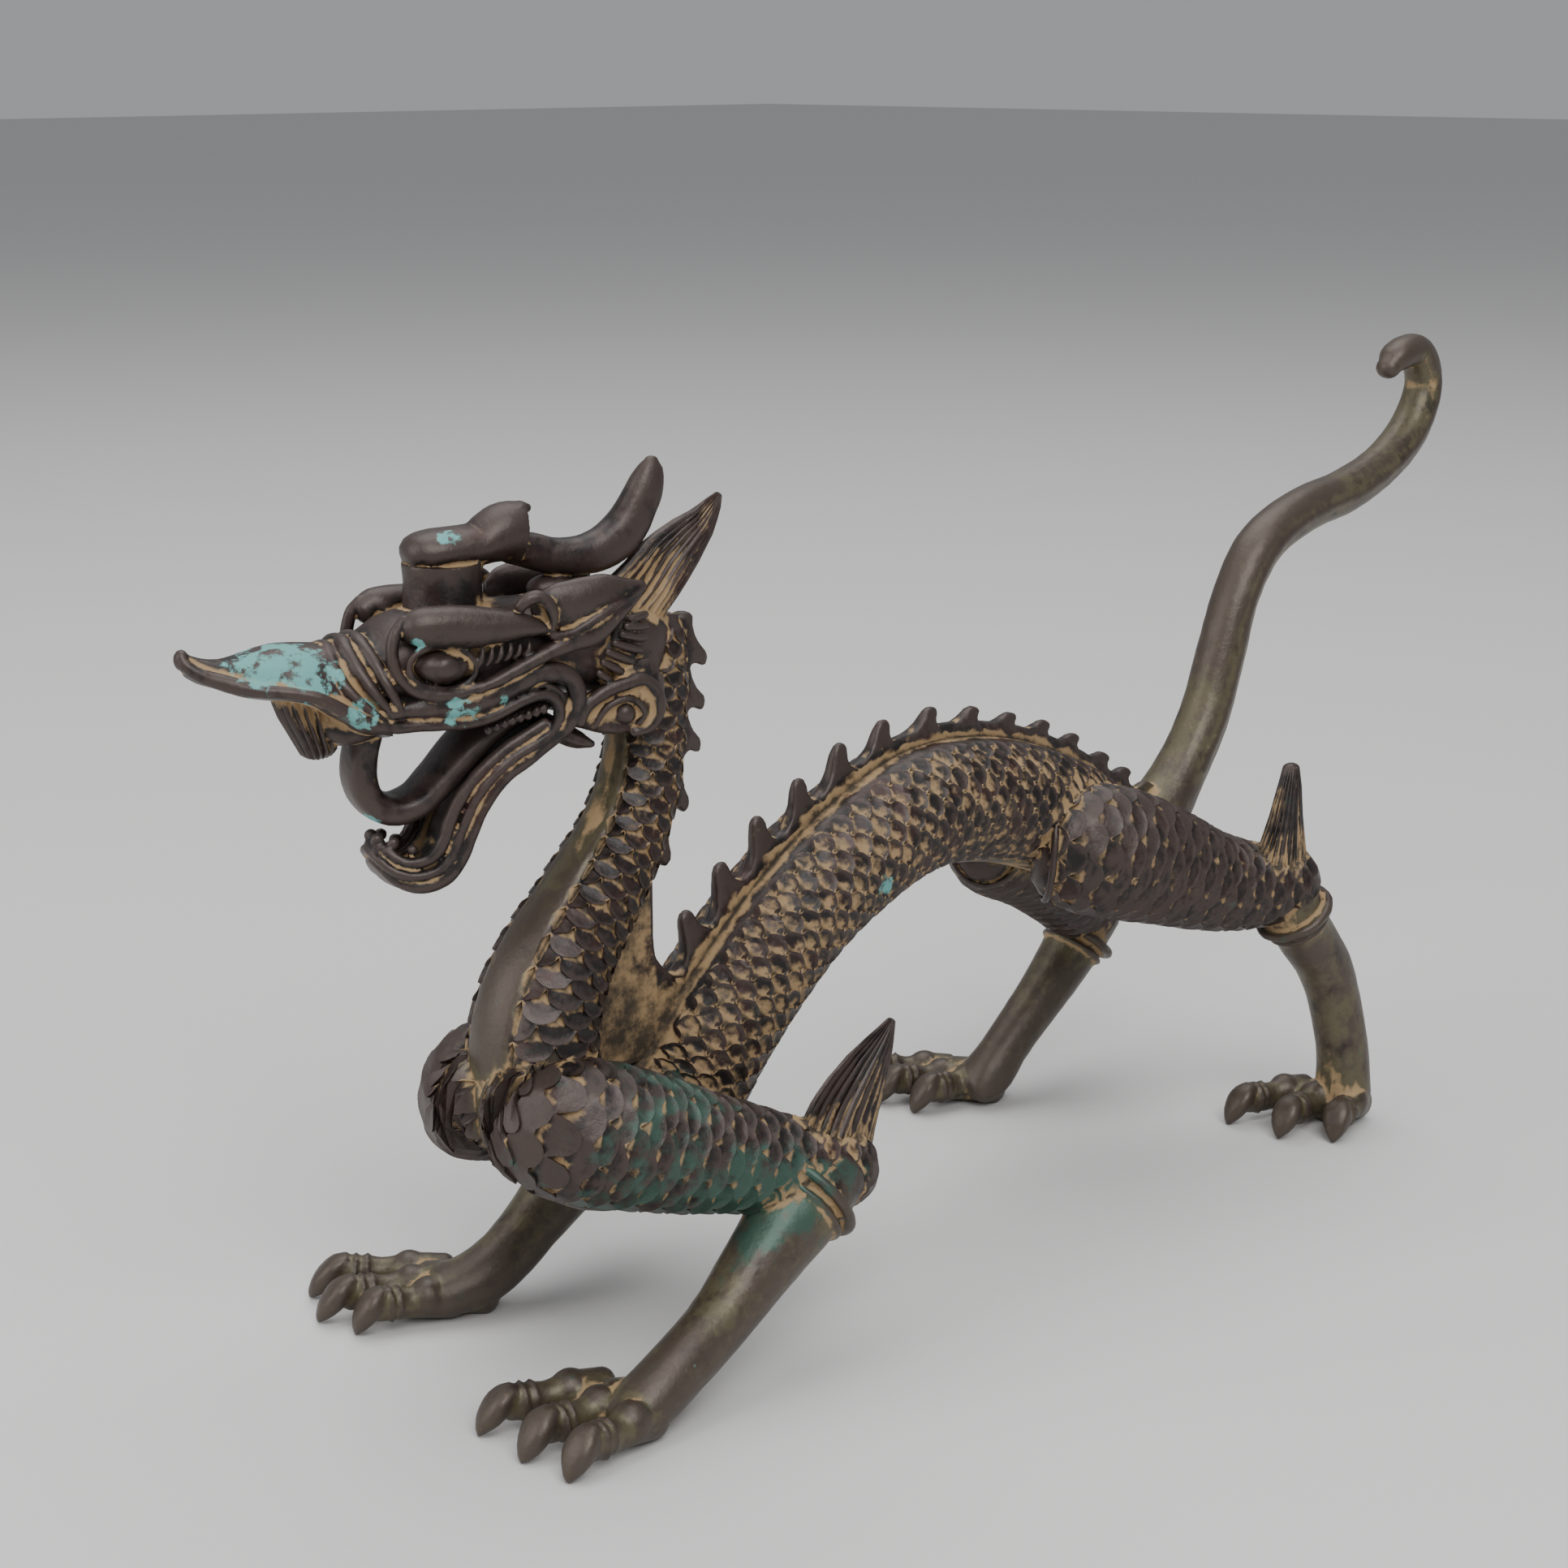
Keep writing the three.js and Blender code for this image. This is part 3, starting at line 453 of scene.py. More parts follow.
class ScaledSkin:
    """A skin of overlapping scales whose mesh rows follow the scales' free edges."""

    ROWS = (0.0, 0.3, 0.58, 0.8, 0.93, 1.0)

    def __init__(self, route: Route, span: SkinSpan, pattern: ScalePattern) -> None:
        """Plans the skin.

        Args:
            route: The path of the limb or trunk.
            span: The stretch covered.
            pattern: Size and relief of the scales.
        """
        self.route = route
        self.span = span
        self.pattern = pattern

    def columns(self) -> tuple[Array, Array, Array]:
        """Divides the girth.

        Returns:
            The angle of each column, its place across in scale widths, and whether it is scaled.
        """
        fine = self.pattern.fine
        if self.span.all_round:
            n = int(self.span.scales * fine)
            return 2 * np.pi * np.arange(n) / n, np.arange(n) / fine, np.ones(n, bool)
        n = int(round(self.span.scales * fine))
        across = np.arange(n + 1) / fine
        start, stop = math.radians(self.span.crest_angle), math.radians(180 - self.span.belly_angle)
        flank = start + (stop - start) * across / self.span.scales
        belly = np.linspace(stop, 2 * np.pi - stop, 13)[1:-1]
        back = np.linspace(-start, start, 7)[1:-1]
        angle = np.concatenate([flank, belly, (2 * np.pi - flank)[::-1], 2 * np.pi + back])
        place = np.concatenate([across, np.full(len(belly), -1.0), across[::-1], np.full(len(back), -2.0)])
        return angle, place, place >= 0

    def build(self) -> Clay:
        """Makes the closed skin.

        Returns:
            The closed shell.
        """
        pattern, span = self.pattern, self.span
        angle, across, scaled = self.columns()
        bands = int((span.stop - span.start) / pattern.pitch)
        rows_s, rows_h = [], []
        belly = across == -1.0
        for band in range(1, bands):
            edge = (band + pattern.arc(across, np.full(len(across), band))) * pattern.pitch
            before = (band - 1 + pattern.arc(across, np.full(len(across), band - 1))) * pattern.pitch
            edge = np.where(scaled, edge, (band + 0.5) * pattern.pitch)
            before = np.where(scaled, before, (band - 0.5) * pattern.pitch)
            for share in self.ROWS:
                s = before + (edge - before) * share + (0.035 if share == 0.0 else 0.0)
                h = pattern.height(edge - s)
                rows_s.append(s)
                rows_h.append(np.where(scaled, h, np.where(belly, span.belly_lift, 0.0)))
        s = np.array(rows_s) + span.start
        h = np.array(rows_h)
        if not span.all_round:
            self._dress_borders(h, angle, belly)
        near = span.stop - s if span.all_round else np.minimum(s - span.start, span.stop - s)
        h = h - 1.4 * np.clip(1 - near / 5.0, 0, 1) ** 2
        flat = s.reshape(-1)
        at, side, up, size = self.route.frames(flat)
        turn = np.tile(angle, len(s))
        lift = h.reshape(-1)
        verts = (at + up * ((size[:, 1] + lift) * np.cos(turn))[:, None]
                 + side * ((size[:, 0] + lift) * np.sin(turn))[:, None])
        return outward_shell(verts, grid_faces(len(s), len(angle)))

    def _dress_borders(self, h: Array, angle: Array, belly: Array) -> None:
        """Cuts the groove beside the belly strip and raises the line beside the crest.

        Args:
            h: Heights, changed in place.
            angle: Angle of each column.
            belly: Which columns lie on the belly strip.
        """
        stop = math.radians(180 - self.span.belly_angle)
        start = math.radians(self.span.crest_angle)
        from_belly = np.minimum(np.abs(angle - stop), np.abs(2 * np.pi - stop - angle))
        groove = np.exp(-(from_belly / 0.035) ** 2)
        h -= 0.38 * groove[None, :]
        fold = np.mod(angle + np.pi, 2 * np.pi) - np.pi
        from_crest = np.abs(np.abs(fold) - start)
        near = np.exp(-(from_crest / 0.05) ** 2)
        h[:] = h * (1 - near[None, :]) + 0.22 * near[None, :]


# ---- the dragon's layout -------------------------------------------------------------------

TRUNK: list[Station] = [
    (-59.0, 0, 101.0, 4.0, 4.2), (-59.6, 0, 97.0, 4.2, 4.4), (-60.6, 0, 88.0, 4.8, 4.9),
    (-61.6, 0, 80.5, 5.1, 5.2), (-65.0, 0, 72.5, 5.5, 5.6), (-71.8, 0, 63.8, 6.6, 6.4),
    (-77.6, 0, 56.8, 7.5, 7.3), (-80.9, 0, 49.6, 8.2, 8.0), (-80.9, 0, 41.6, 8.6, 8.3),
    (-76.4, 0, 33.6, 8.8, 8.6), (-66.9, 0, 29.4, 8.9, 8.8), (-57.4, 0, 33.4, 9.0, 9.2),
    (-49.8, 0, 41.5, 9.1, 9.2), (-34.4, 0, 54.5, 9.3, 8.9), (-19.6, 0, 61.9, 9.5, 9.2),
    (-7.5, 0, 64.7, 9.7, 9.4), (7.1, 0, 63.2, 9.7, 9.4), (22.5, 0, 57.9, 9.5, 9.2),
    (36.0, 0, 50.8, 8.8, 8.4), (46.0, 0, 46.6, 7.2, 6.6), (51.0, 0, 44.6, 4.6, 4.2),
]
TAIL: list[Station] = [
    (38.0, 0, 49.0, 6.6, 6.0), (48.5, 0, 50.6, 5.6, 5.2), (57.7, 0, 58.6, 4.3, 4.2),
    (63.6, 0, 67.0, 4.0, 4.1), (67.2, 0, 76.0, 4.0, 4.0), (70.8, 0, 85.2, 3.8, 3.7),
    (76.6, 0, 92.4, 3.9, 3.8), (87.0, 0, 96.7, 3.8, 3.8), (101.0, 0, 99.0, 3.7, 3.7),
    (112.2, 0, 102.6, 3.5, 3.5), (120.8, 0, 108.6, 3.4, 3.4), (124.0, 0, 115.6, 3.2, 3.2),
    (120.8, 0, 121.0, 3.1, 2.9), (114.6, 0, 120.4, 2.9, 2.6), (112.4, 0, 118.2, 1.6, 1.5),
]
HEAD_TURN = math.radians(16.0)
HEAD_PIVOT = np.array([-63.0, 0.0, 89.0])
HEAD_FORWARD = np.array([-math.cos(HEAD_TURN), math.sin(HEAD_TURN), 0.0])
HEAD_LEFT = np.array([-math.sin(HEAD_TURN), -math.cos(HEAD_TURN), 0.0])
HEAD_UP = np.array([0.0, 0.0, 1.0])


def to_head(local: Array) -> Array:
    """Moves head points, given forward, left and up, into the layout."""
    return (HEAD_PIVOT + local[:, :1] * HEAD_FORWARD + local[:, 1:2] * HEAD_LEFT
            + local[:, 2:3] * HEAD_UP)


def trunk_lateral(t: Array) -> Array:
    """Sideways hint of the trunk, twisted with the head at the nape.

    Args:
        t: Fractions along the trunk.

    Returns:
        One sideways vector a row.
    """
    x = np.clip(t / 0.22, 0, 1)
    turn = HEAD_TURN * (1 - x * x * (3 - 2 * x))
    return np.stack([np.sin(turn), np.cos(turn), np.zeros_like(turn)], axis=1)


def trunk_route() -> Route:
    """Lays the trunk's centre line, from the nape to the root of the tail."""
    return Route(TRUNK, trunk_lateral)


class Side(Enum):
    """Which flank a leg stands on."""

    LEFT = -1
    RIGHT = 1


@dataclass(frozen=True)
class LegPlan:
    """Stations and toe places of one leg, with y measured outwards."""

    name: str
    side: Side
    upper: list[Station]
    lower: list[Station]
    fin: list[Station]
    toes: list[tuple[tuple[float, float], tuple[float, float]]]
    worn_fin: bool = False

    def out(self, stations: Sequence[Station]) -> list[Station]:
        """Puts stations on the leg's own flank."""
        return [(x, self.side.value * y, z, a, b) for x, y, z, a, b in stations]


LEG_PLANS = [
    LegPlan(
        "left foreleg", Side.LEFT,
        [(-84.6, 2.0, 40.0, 4.0, 5.0), (-87.2, 5.2, 39.7, 5.3, 6.9), (-85.4, 8.4, 39.0, 6.8, 8.5),
         (-80.0, 10.8, 37.2, 7.6, 9.0), (-71.4, 13.2, 33.8, 7.3, 8.4), (-60.0, 16.6, 29.6, 6.2, 7.0),
         (-51.0, 19.2, 26.6, 5.3, 6.0), (-43.4, 20.6, 24.9, 4.8, 5.2), (-39.2, 21.2, 24.6, 3.0, 3.4)],
        [(-46.5, 20.4, 25.8, 5.6, 5.8), (-52.8, 20.6, 21.8, 6.0, 6.3), (-59.6, 20.9, 17.0, 5.1, 5.4),
         (-68.1, 21.6, 11.3, 4.2, 4.4), (-76.5, 22.2, 7.4, 4.1, 4.2), (-82.4, 22.2, 4.6, 4.3, 3.9),
         (-86.0, 21.2, 3.2, 4.2, 3.0)],
        [(-47.0, 20.2, 26.0, 3.4, 7.6), (-44.4, 20.4, 31.6, 2.8, 6.8), (-40.6, 20.6, 36.8, 2.1, 4.9),
         (-37.2, 20.8, 41.0, 1.3, 2.6), (-35.4, 21.0, 43.6, 0.6, 0.7)],
        [((-84.4, 12.6), (-98.4, 7.9)), ((-84.8, 18.2), (-99.0, 17.2)), ((-85.0, 24.0), (-98.2, 25.0))],
    ),
    LegPlan(
        "right foreleg", Side.RIGHT,
        [(-84.0, 2.0, 40.0, 4.0, 5.0), (-86.4, 5.2, 39.7, 5.3, 6.9), (-84.6, 8.4, 39.0, 6.8, 8.5),
         (-79.4, 10.8, 37.2, 7.6, 9.0), (-71.0, 13.2, 33.8, 7.3, 8.4), (-60.0, 16.6, 29.6, 6.2, 7.0),
         (-51.0, 18.6, 26.6, 5.3, 6.0), (-43.4, 19.6, 24.9, 4.8, 5.2), (-39.2, 20.0, 24.6, 3.0, 3.4)],
        [(-46.5, 19.4, 25.8, 5.6, 5.8), (-53.6, 19.6, 20.4, 5.8, 6.1), (-64.1, 20.0, 11.6, 4.3, 4.5),
         (-69.8, 20.4, 7.4, 4.1, 4.2), (-74.6, 21.2, 5.0, 4.4, 4.0), (-79.0, 23.4, 3.6, 4.4, 3.4)],
        [(-47.0, 19.4, 26.0, 3.4, 7.6), (-44.4, 19.6, 31.6, 2.8, 6.8), (-40.6, 19.8, 36.8, 2.1, 4.9),
         (-37.2, 20.0, 41.0, 1.3, 2.6), (-35.4, 20.2, 43.6, 0.6, 0.7)],
        [((-80.2, 22.6), (-91.6, 26.8)), ((-79.0, 27.0), (-93.0, 33.6)), ((-76.4, 30.6), (-88.8, 41.0))],
    ),
    LegPlan(
        "left hind leg", Side.LEFT,
        [(14.8, 4.0, 54.6, 3.6, 5.0), (16.6, 6.2, 54.4, 5.8, 7.6), (20.2, 8.4, 54.0, 7.2, 9.2),
         (26.6, 10.2, 52.6, 8.2, 9.8), (36.0, 12.6, 49.0, 7.9, 8.9), (46.0, 15.6, 44.8, 6.8, 7.4),
         (55.0, 18.8, 43.0, 5.8, 6.2), (61.0, 20.4, 43.0, 5.0, 5.4), (64.6, 21.0, 43.2, 3.0, 3.4)],
        [(58.2, 20.2, 42.4, 5.2, 5.4), (62.1, 21.0, 35.5, 4.6, 5.0), (68.0, 22.0, 27.6, 4.4, 4.6),
         (70.7, 22.8, 21.0, 4.2, 4.4), (72.5, 23.8, 11.5, 4.2, 4.4), (72.7, 24.2, 4.6, 4.6, 4.6)],
        [(56.2, 20.6, 41.0, 3.4, 7.0), (56.4, 20.8, 48.0, 2.8, 5.8), (57.0, 21.0, 54.4, 2.1, 3.8),
         (57.6, 21.0, 59.4, 1.6, 2.4), (57.8, 21.0, 62.0, 1.3, 1.5)],
        [((69.6, 16.6), (56.6, 12.8)), ((70.4, 21.6), (56.9, 22.5)), ((72.8, 26.4), (61.9, 29.6))],
        True,
    ),
    LegPlan(
        "right hind leg", Side.RIGHT,
        [(14.8, 4.0, 54.4, 3.6, 5.0), (16.6, 6.2, 54.0, 5.8, 7.6), (20.2, 8.4, 53.2, 7.2, 9.2),
         (26.6, 10.2, 51.0, 8.2, 9.8), (36.0, 12.6, 45.8, 7.9, 8.9), (46.0, 15.6, 38.6, 6.8, 7.4),
         (54.0, 18.2, 33.0, 5.8, 6.4), (60.2, 19.6, 29.8, 5.0, 5.6), (63.8, 20.2, 28.4, 3.0, 3.4)],
        [(60.0, 19.4, 29.6, 5.2, 5.4), (54.4, 20.0, 22.6, 4.7, 5.0), (47.8, 20.8, 15.9, 4.1, 4.3),
         (40.8, 21.6, 9.4, 3.8, 4.0), (37.0, 22.4, 5.2, 4.2, 4.2), (34.6, 23.4, 3.4, 4.4, 3.4)],
        [(60.6, 19.6, 29.0, 3.4, 6.6), (62.4, 19.8, 35.0, 2.8, 5.4), (64.0, 20.0, 40.6, 2.1, 3.6),
         (65.0, 20.0, 45.0, 1.6, 2.2), (65.4, 20.0, 47.4, 1.3, 1.4)],
        [((36.0, 24.2), (23.8, 27.4)), ((35.2, 28.8), (22.6, 34.8)), ((35.6, 33.0), (25.0, 41.6))],
    ),
]


# ---- sub-assemblies ------------------------------------------------------------------------


@dataclass
class Trunk:
    """Neck, body and the web in the crook between them."""

    pattern: ScalePattern = field(default_factory=ScalePattern)
    web_thickness: float = 2.6

    def skins(self) -> list[Clay]:
        """Builds the scaled neck and the scaled body.

        Returns:
            Two closed shells that overlap under the shoulders.
        """
        route = trunk_route()
        neck = SkinSpan(0.0, 90.0, 3.5)
        body = SkinSpan(81.0, route.length, 5.5)
        return [ScaledSkin(route, neck, self.pattern).build(),
                ScaledSkin(route, body, self.pattern).build()]

    def web(self) -> Clay:
        """Builds the thin web in the crook of the neck.

        Returns:
            The closed shell.
        """
        rows = [(-66.5, 72.0, -62.4), (-68.0, 66.0, -60.8), (-70.5, 60.0, -60.6), (-72.0, 54.0, -60.0),
                (-73.0, 50.0, -56.5), (-73.0, 46.0, -53.0), (-72.0, 40.0, -54.0)]
        half = self.web_thickness / 2
        fine = spline(np.array(rows), np.linspace(0, 1, 40), True)
        ring = [(-half, 0.0), (-half, 0.96), (-half * 0.5, 1.0), (half * 0.5, 1.0), (half, 0.96), (half, 0.0)]
        verts = np.array([[x0 + (x1 - x0) * f, y, z] for x0, z, x1 in fine for y, f in ring])
        return outward_shell(verts, grid_faces(len(fine), len(ring)))


@dataclass
class Tail:
    """The plain tail with its curled-back tip."""

    def clay(self) -> Clay:
        """Builds the tail and the ridge along its sides.

        Returns:
            The closed shells.
        """
        clay = Clay()
        clay.take(sweep(TAIL, sides=22, step=0.9, power=2.15))
        for side in (-1, 1):
            ridge = [(x, side * (a - 0.25), z, 0.55, 1.0) for x, _, z, a, _ in TAIL[2:-2]]
            clay.take(sweep(ridge, sides=8, step=1.2))
        clay.take(ellipsoid((112.6, 0, 118.9), (1.9, 2.2, 1.9)))
        return clay


@dataclass
class CrestPlan:
    """One run of teeth along the trunk's ridge."""

    start: float
    stop: float
    teeth: int
    base: float
    low: float
    extra: float


@dataclass
class Crest:
    """The toothed crest: a low wall with a row of hooked teeth set on it."""

    runs: list[CrestPlan] = field(default_factory=lambda: [
        CrestPlan(0.6, 31.0, 5, 1.5, 4.1, 0.0), CrestPlan(101.0, 212.0, 15, 2.0, 3.6, 2.9)])

    def wall(self) -> Clay:
        """Builds the low wall under the teeth.

        Returns:
            The closed shells.
        """
        route = trunk_route()
        clay = Clay()
        for run in self.runs:
            distance = np.linspace(run.start, run.stop, 70)
            at, _, up, size = route.frames(distance)
            centre = at + up * (size[:, 1:] * 0.82 + run.base * 0.5)
            half = size[:, 1] * 0.18 + run.base * 0.5
            stations = [(*p, 1.25, float(h)) for p, h in zip(centre, half)]
            clay.take(sweep(stations, sides=14, step=1.0, lateral=route.lateral, power=4.0))
        return clay

    def tooth(self) -> Clay:
        """Models one tooth, a unit long and a unit tall, hooked towards +X.

        Returns:
            The closed shell.
        """
        outline = [(-0.62, -0.10), (-0.42, 0.10), (-0.22, 0.26), (-0.06, 0.50), (0.06, 0.78), (0.14, 0.96),
                   (0.24, 1.04), (0.36, 1.00), (0.42, 0.88), (0.40, 0.72), (0.36, 0.50), (0.38, 0.26),
                   (0.46, 0.08), (0.56, -0.10), (0.50, -0.50), (-0.56, -0.50)]
        rings = [(-1.0, 0.80), (-0.86, 0.93), (-0.45, 1.0), (0.45, 1.0), (0.86, 0.93), (1.0, 0.80)]
        middle = np.array([0.1, 0.2])
        verts = []
        for y, shrink in rings:
            for x, z in outline:
                p = middle + (np.array([x, z]) - middle) * shrink
                thick = 1.0 - 0.42 * np.clip(z, 0, 1)
                verts.append((p[0], y * thick, p[1]))
        return outward_shell(np.array(verts), grid_faces(len(rings), len(outline)))

    def stands(self) -> tuple[Array, Array, Array]:
        """Finds where each tooth stands.

        Returns:
            Places, turns as Euler angles, and sizes.
        """
        route = trunk_route()
        places, turns, sizes = [], [], []
        for run in self.runs:
            pitch = (run.stop - run.start) / run.teeth
            for i in range(run.teeth):
                s = run.start + (i + 0.62) * pitch
                along_run = (i + 0.5) / run.teeth
                fall = np.clip((along_run - 0.3) / 0.32, 0, 1)
                tall = run.low + run.extra * (1 - fall * fall * (3 - 2 * fall)) - run.base * 0.5
                at, side, up, size = (a[0] for a in route.frames(np.array([s])))
                foot = at + up * (size[1] + run.base * 0.55)
                turn = euler_from_axes(np.cross(side, up), side, up)
                places.append(foot)
                turns.append(turn)
                sizes.append((pitch * 1.12, 1.28, tall))
        return np.array(places), np.array(turns), np.array(sizes)


def euler_from_axes(x: Array, y: Array, z: Array) -> tuple[float, float, float]:
    """Turns three axes into Euler angles."""
    return tuple(Matrix(np.stack([x, y, z], axis=1).tolist()).to_euler())


def maths(tree: bpy.types.NodeTree, operation: str, first: float | None = None) -> bpy.types.Node:
    """Adds a sum to a node tree.

    Args:
        tree: The tree.
        operation: What it works out.
        first: Its first value, where that is fixed.

    Returns:
        The new node.
    """
    made = tree.nodes.new("ShaderNodeMath")
    made.operation = operation
    if first is not None:
        made.inputs[0].default_value = first
    return made


class Planter:
    """Sets copies of a small piece on prepared places with Geometry Nodes."""

    def __init__(self) -> None:
        """Builds the node tree once."""
        tree = bpy.data.node_groups.new("Set pieces along a path", "GeometryNodeTree")
        face = tree.interface
        self.ids = {label: face.new_socket(label, in_out="INPUT", socket_type="NodeSocket" + kind).identifier
                    for label, kind in (("Places", "Geometry"), ("Piece", "Object"), ("Size wobble", "Float"),
                                        ("Seed", "Int"), ("Finish", "Material"))}
        face.new_socket("Set pieces", in_out="OUTPUT", socket_type="NodeSocketGeometry")
        node = tree.nodes.new
        link = tree.links.new
        given = node("NodeGroupInput")
        result = node("NodeGroupOutput")
        piece = node("GeometryNodeObjectInfo")
        turn, size = node("GeometryNodeInputNamedAttribute"), node("GeometryNodeInputNamedAttribute")
        for reader, label in ((turn, "turn"), (size, "size")):
            reader.data_type = "FLOAT_VECTOR"
            reader.inputs["Name"].default_value = label
        rotate = node("FunctionNodeEulerToRotation")
        random = node("FunctionNodeRandomValue")
        random.data_type = "FLOAT_VECTOR"
        low, high = maths(tree, "SUBTRACT", 1.0), maths(tree, "ADD", 1.0)
        scale = node("ShaderNodeVectorMath")
        scale.operation = "MULTIPLY"
        plant = node("GeometryNodeInstanceOnPoints")
        real = node("GeometryNodeRealizeInstances")
        finish = node("GeometryNodeSetMaterial")
        for source, out, target, into in (
                (given, "Piece", piece, "Object"), (given, "Size wobble", low, 1),
                (given, "Size wobble", high, 1), (low, 0, random, "Min"), (high, 0, random, "Max"),
                (given, "Seed", random, "Seed"), (turn, "Attribute", rotate, "Euler"),
                (size, "Attribute", scale, 0), (random, 0, scale, 1), (given, "Places", plant, "Points"),
                (piece, "Geometry", plant, "Instance"), (rotate, "Rotation", plant, "Rotation"),
                (scale, "Vector", plant, "Scale"), (plant, "Instances", real, "Geometry"),
                (real, "Geometry", finish, "Geometry"), (given, "Finish", finish, "Material"),
                (finish, "Geometry", result, 0)):
            link(source.outputs[out], target.inputs[into])
        self.tree = tree

    def plant(self, name: str, piece: Clay, places: Array, turns: Array, sizes: Array,
              finish: bpy.types.Material, wobble: float, seed: int) -> Clay:
        """Sets the pieces and returns them as plain clay.

        Args:
            name: Name for the working objects.
            piece: The small piece.
            places: Where each copy stands.
            turns: Euler angles of each copy.
            sizes: Scale of each copy.
            finish: The material set on the copies.
            wobble: Share by which sizes vary.
            seed: Seed of the variation.

        Returns:
            The copies.
        """
        model = piece.to_object(name + " piece")
        mesh = bpy.data.meshes.new(name)
        mesh.from_pydata(places.tolist(), [], [])
        for label, values in (("turn", turns), ("size", sizes)):
            layer = mesh.attributes.new(label, "FLOAT_VECTOR", "POINT")
            layer.data.foreach_set("vector", np.asarray(values, float).reshape(-1))
        obj = bpy.data.objects.new(name, mesh)
        bpy.context.collection.objects.link(obj)
        modifier = obj.modifiers.new("Set", "NODES")
        modifier.node_group = self.tree
        for label, value in (("Piece", model), ("Size wobble", wobble), ("Seed", seed), ("Finish", finish)):
            modifier[self.ids[label]] = value
        result = evaluated_mesh(obj)
        clay = Clay()
        verts = np.empty(len(result.vertices) * 3)
        result.vertices.foreach_get("co", verts)
        clay.add(verts.reshape(-1, 3), [tuple(p.vertices) for p in result.polygons])
        for spare in (obj, model):
            bpy.data.objects.remove(spare)
        bpy.data.meshes.remove(result)
        return clay


@dataclass
class Foot:
    """Three clawed toes, each with a knuckle and cuticle rings."""

    plan: LegPlan

    def clay(self) -> Clay:
        """Builds the toes and the web that joins them.

        Returns:
            The closed shells.
        """
        clay = Clay()
        roots = []
        for (rx, ry), (cx, cy) in self.plan.toes:
            side = self.plan.side.value
            root = np.array([rx, side * ry, 0.0])
            claw = np.array([cx, side * cy, 0.0])
            roots.append(root)
            clay.take(self._toe(root, claw))
        x, y = self.plan.lower[-2][0], self.plan.lower[-2][1] * self.plan.side.value
        clay.take(sweep([(*(r + [0, 0, 3.2]), 3.2, 2.7) for r in roots], lateral=steady([1.0, 0.0, 0.0])))
        middle = roots[1]
        clay.take(sweep([(x + 1.6, y, 3.2, 4.2, 3.9), (middle[0], middle[1], 3.0, 4.6, 3.6)]))
        return clay

    def _toe(self, root: Array, claw: Array) -> Clay:
        """Builds one toe.

        Args:
            root: Where it leaves the foot.
            claw: Where its claw touches the ground.

        Returns:
            The closed shells.
        """
        reach = claw - root
        length = np.linalg.norm(reach)
        ahead = reach / length
        across = np.cross([0.0, 0.0, 1.0], ahead)
        hint = steady(across)
        turn = math.atan2(ahead[1], ahead[0])

        def place(share: float, height: float) -> Array:
            """Finds a point over the toe's line, by share of its length and by height."""
            return root + reach * share + np.array([0, 0, height])

        clay = Clay()
        tube = [(-0.16, 3.0, 2.5, 3.0), (0.12, 3.6, 2.5, 2.8), (0.36, 3.5, 2.0, 2.3), (0.56, 3.8, 2.1, 2.4),
                (0.72, 3.7, 1.9, 2.2)]
        clay.take(sweep([(*place(s, z), a, b) for s, z, a, b in tube], lateral=hint))
        clay.take(ellipsoid(place(0.14, 3.9), (2.9, 2.75, 2.9), turn))
        for share, grow in ((0.50, 1.0), (0.60, 1.06)):
            clay.take(ellipsoid(place(share, 3.9), (0.52, 2.45 * grow, 2.7 * grow), turn))
        nail = [(0.68, 5.7, 1.5, 1.1), (0.77, 4.9, 2.2, 1.5), (0.85, 3.6, 2.35, 1.6), (0.93, 2.1, 1.8, 1.35),
                (0.985, 0.9, 0.95, 0.8), (1.0, 0.35, 0.4, 0.4)]
        clay.take(sweep([(*place(s, z), a, b) for s, z, a, b in nail], lateral=hint, power=2.6, step=0.5))
        return clay


@dataclass
class Leg:
    """A scaled upper leg, a smooth shin, a finned joint and a foot."""

    plan: LegPlan
    scales_round: int = 10

    def skin(self) -> Clay:
        """Builds the scaled upper leg.

        Returns:
            The closed shell.
        """
        route = Route(self.plan.out(self.plan.upper))
        span = SkinSpan(0.0, route.length, self.scales_round, all_round=True)
        return ScaledSkin(route, span, ScalePattern(pitch=1.95, fine=7)).build()

    def clay(self) -> Clay:
        """Builds the smooth parts.

        Returns:
            The closed shells.
        """
        plan = self.plan
        clay = Clay()
        clay.take(sweep(plan.out(plan.lower), sides=24))
        clay.take(self._ring(plan.lower, 5.6, 0.9, 0.8))
        clay.take(self._ring(plan.lower, 7.6, 0.2, 0.5))
        clay.take(self._ring(plan.upper, 2.6, 0.4, 0.6))
        clay.take(Foot(plan).clay())
        return clay

    def fin(self) -> Clay:
        """Builds the grooved fin behind the joint."""
        depth = 0.09 if self.plan.worn_fin else 0.14
        return sweep(self.plan.out(self.plan.fin), sides=132, step=0.7, flutes=Flutes(22, depth, 1.2))

    def _ring(self, stations: list[Station], distance: float, proud: float, thick: float) -> Clay:
        """Builds a raised ring round the leg.

        Args:
            stations: The part of the leg that it goes round.
            distance: Where it stands, along that part.
            proud: How far its middle stands over the leg.
            thick: Its half thickness.

        Returns:
            The closed shell.
        """
        at, side, up, size = (a[0] for a in Route(self.plan.out(stations)).frames(np.array([distance])))
        turns = np.linspace(0, 2 * np.pi, 41)
        ring = [(*(at + side * (size[0] + proud) * math.sin(a) + up * (size[1] + proud) * math.cos(a)),
                 thick, thick) for a in turns]
        normal = np.cross(side, up)
        return sweep(ring, sides=10, lateral=steady(normal))


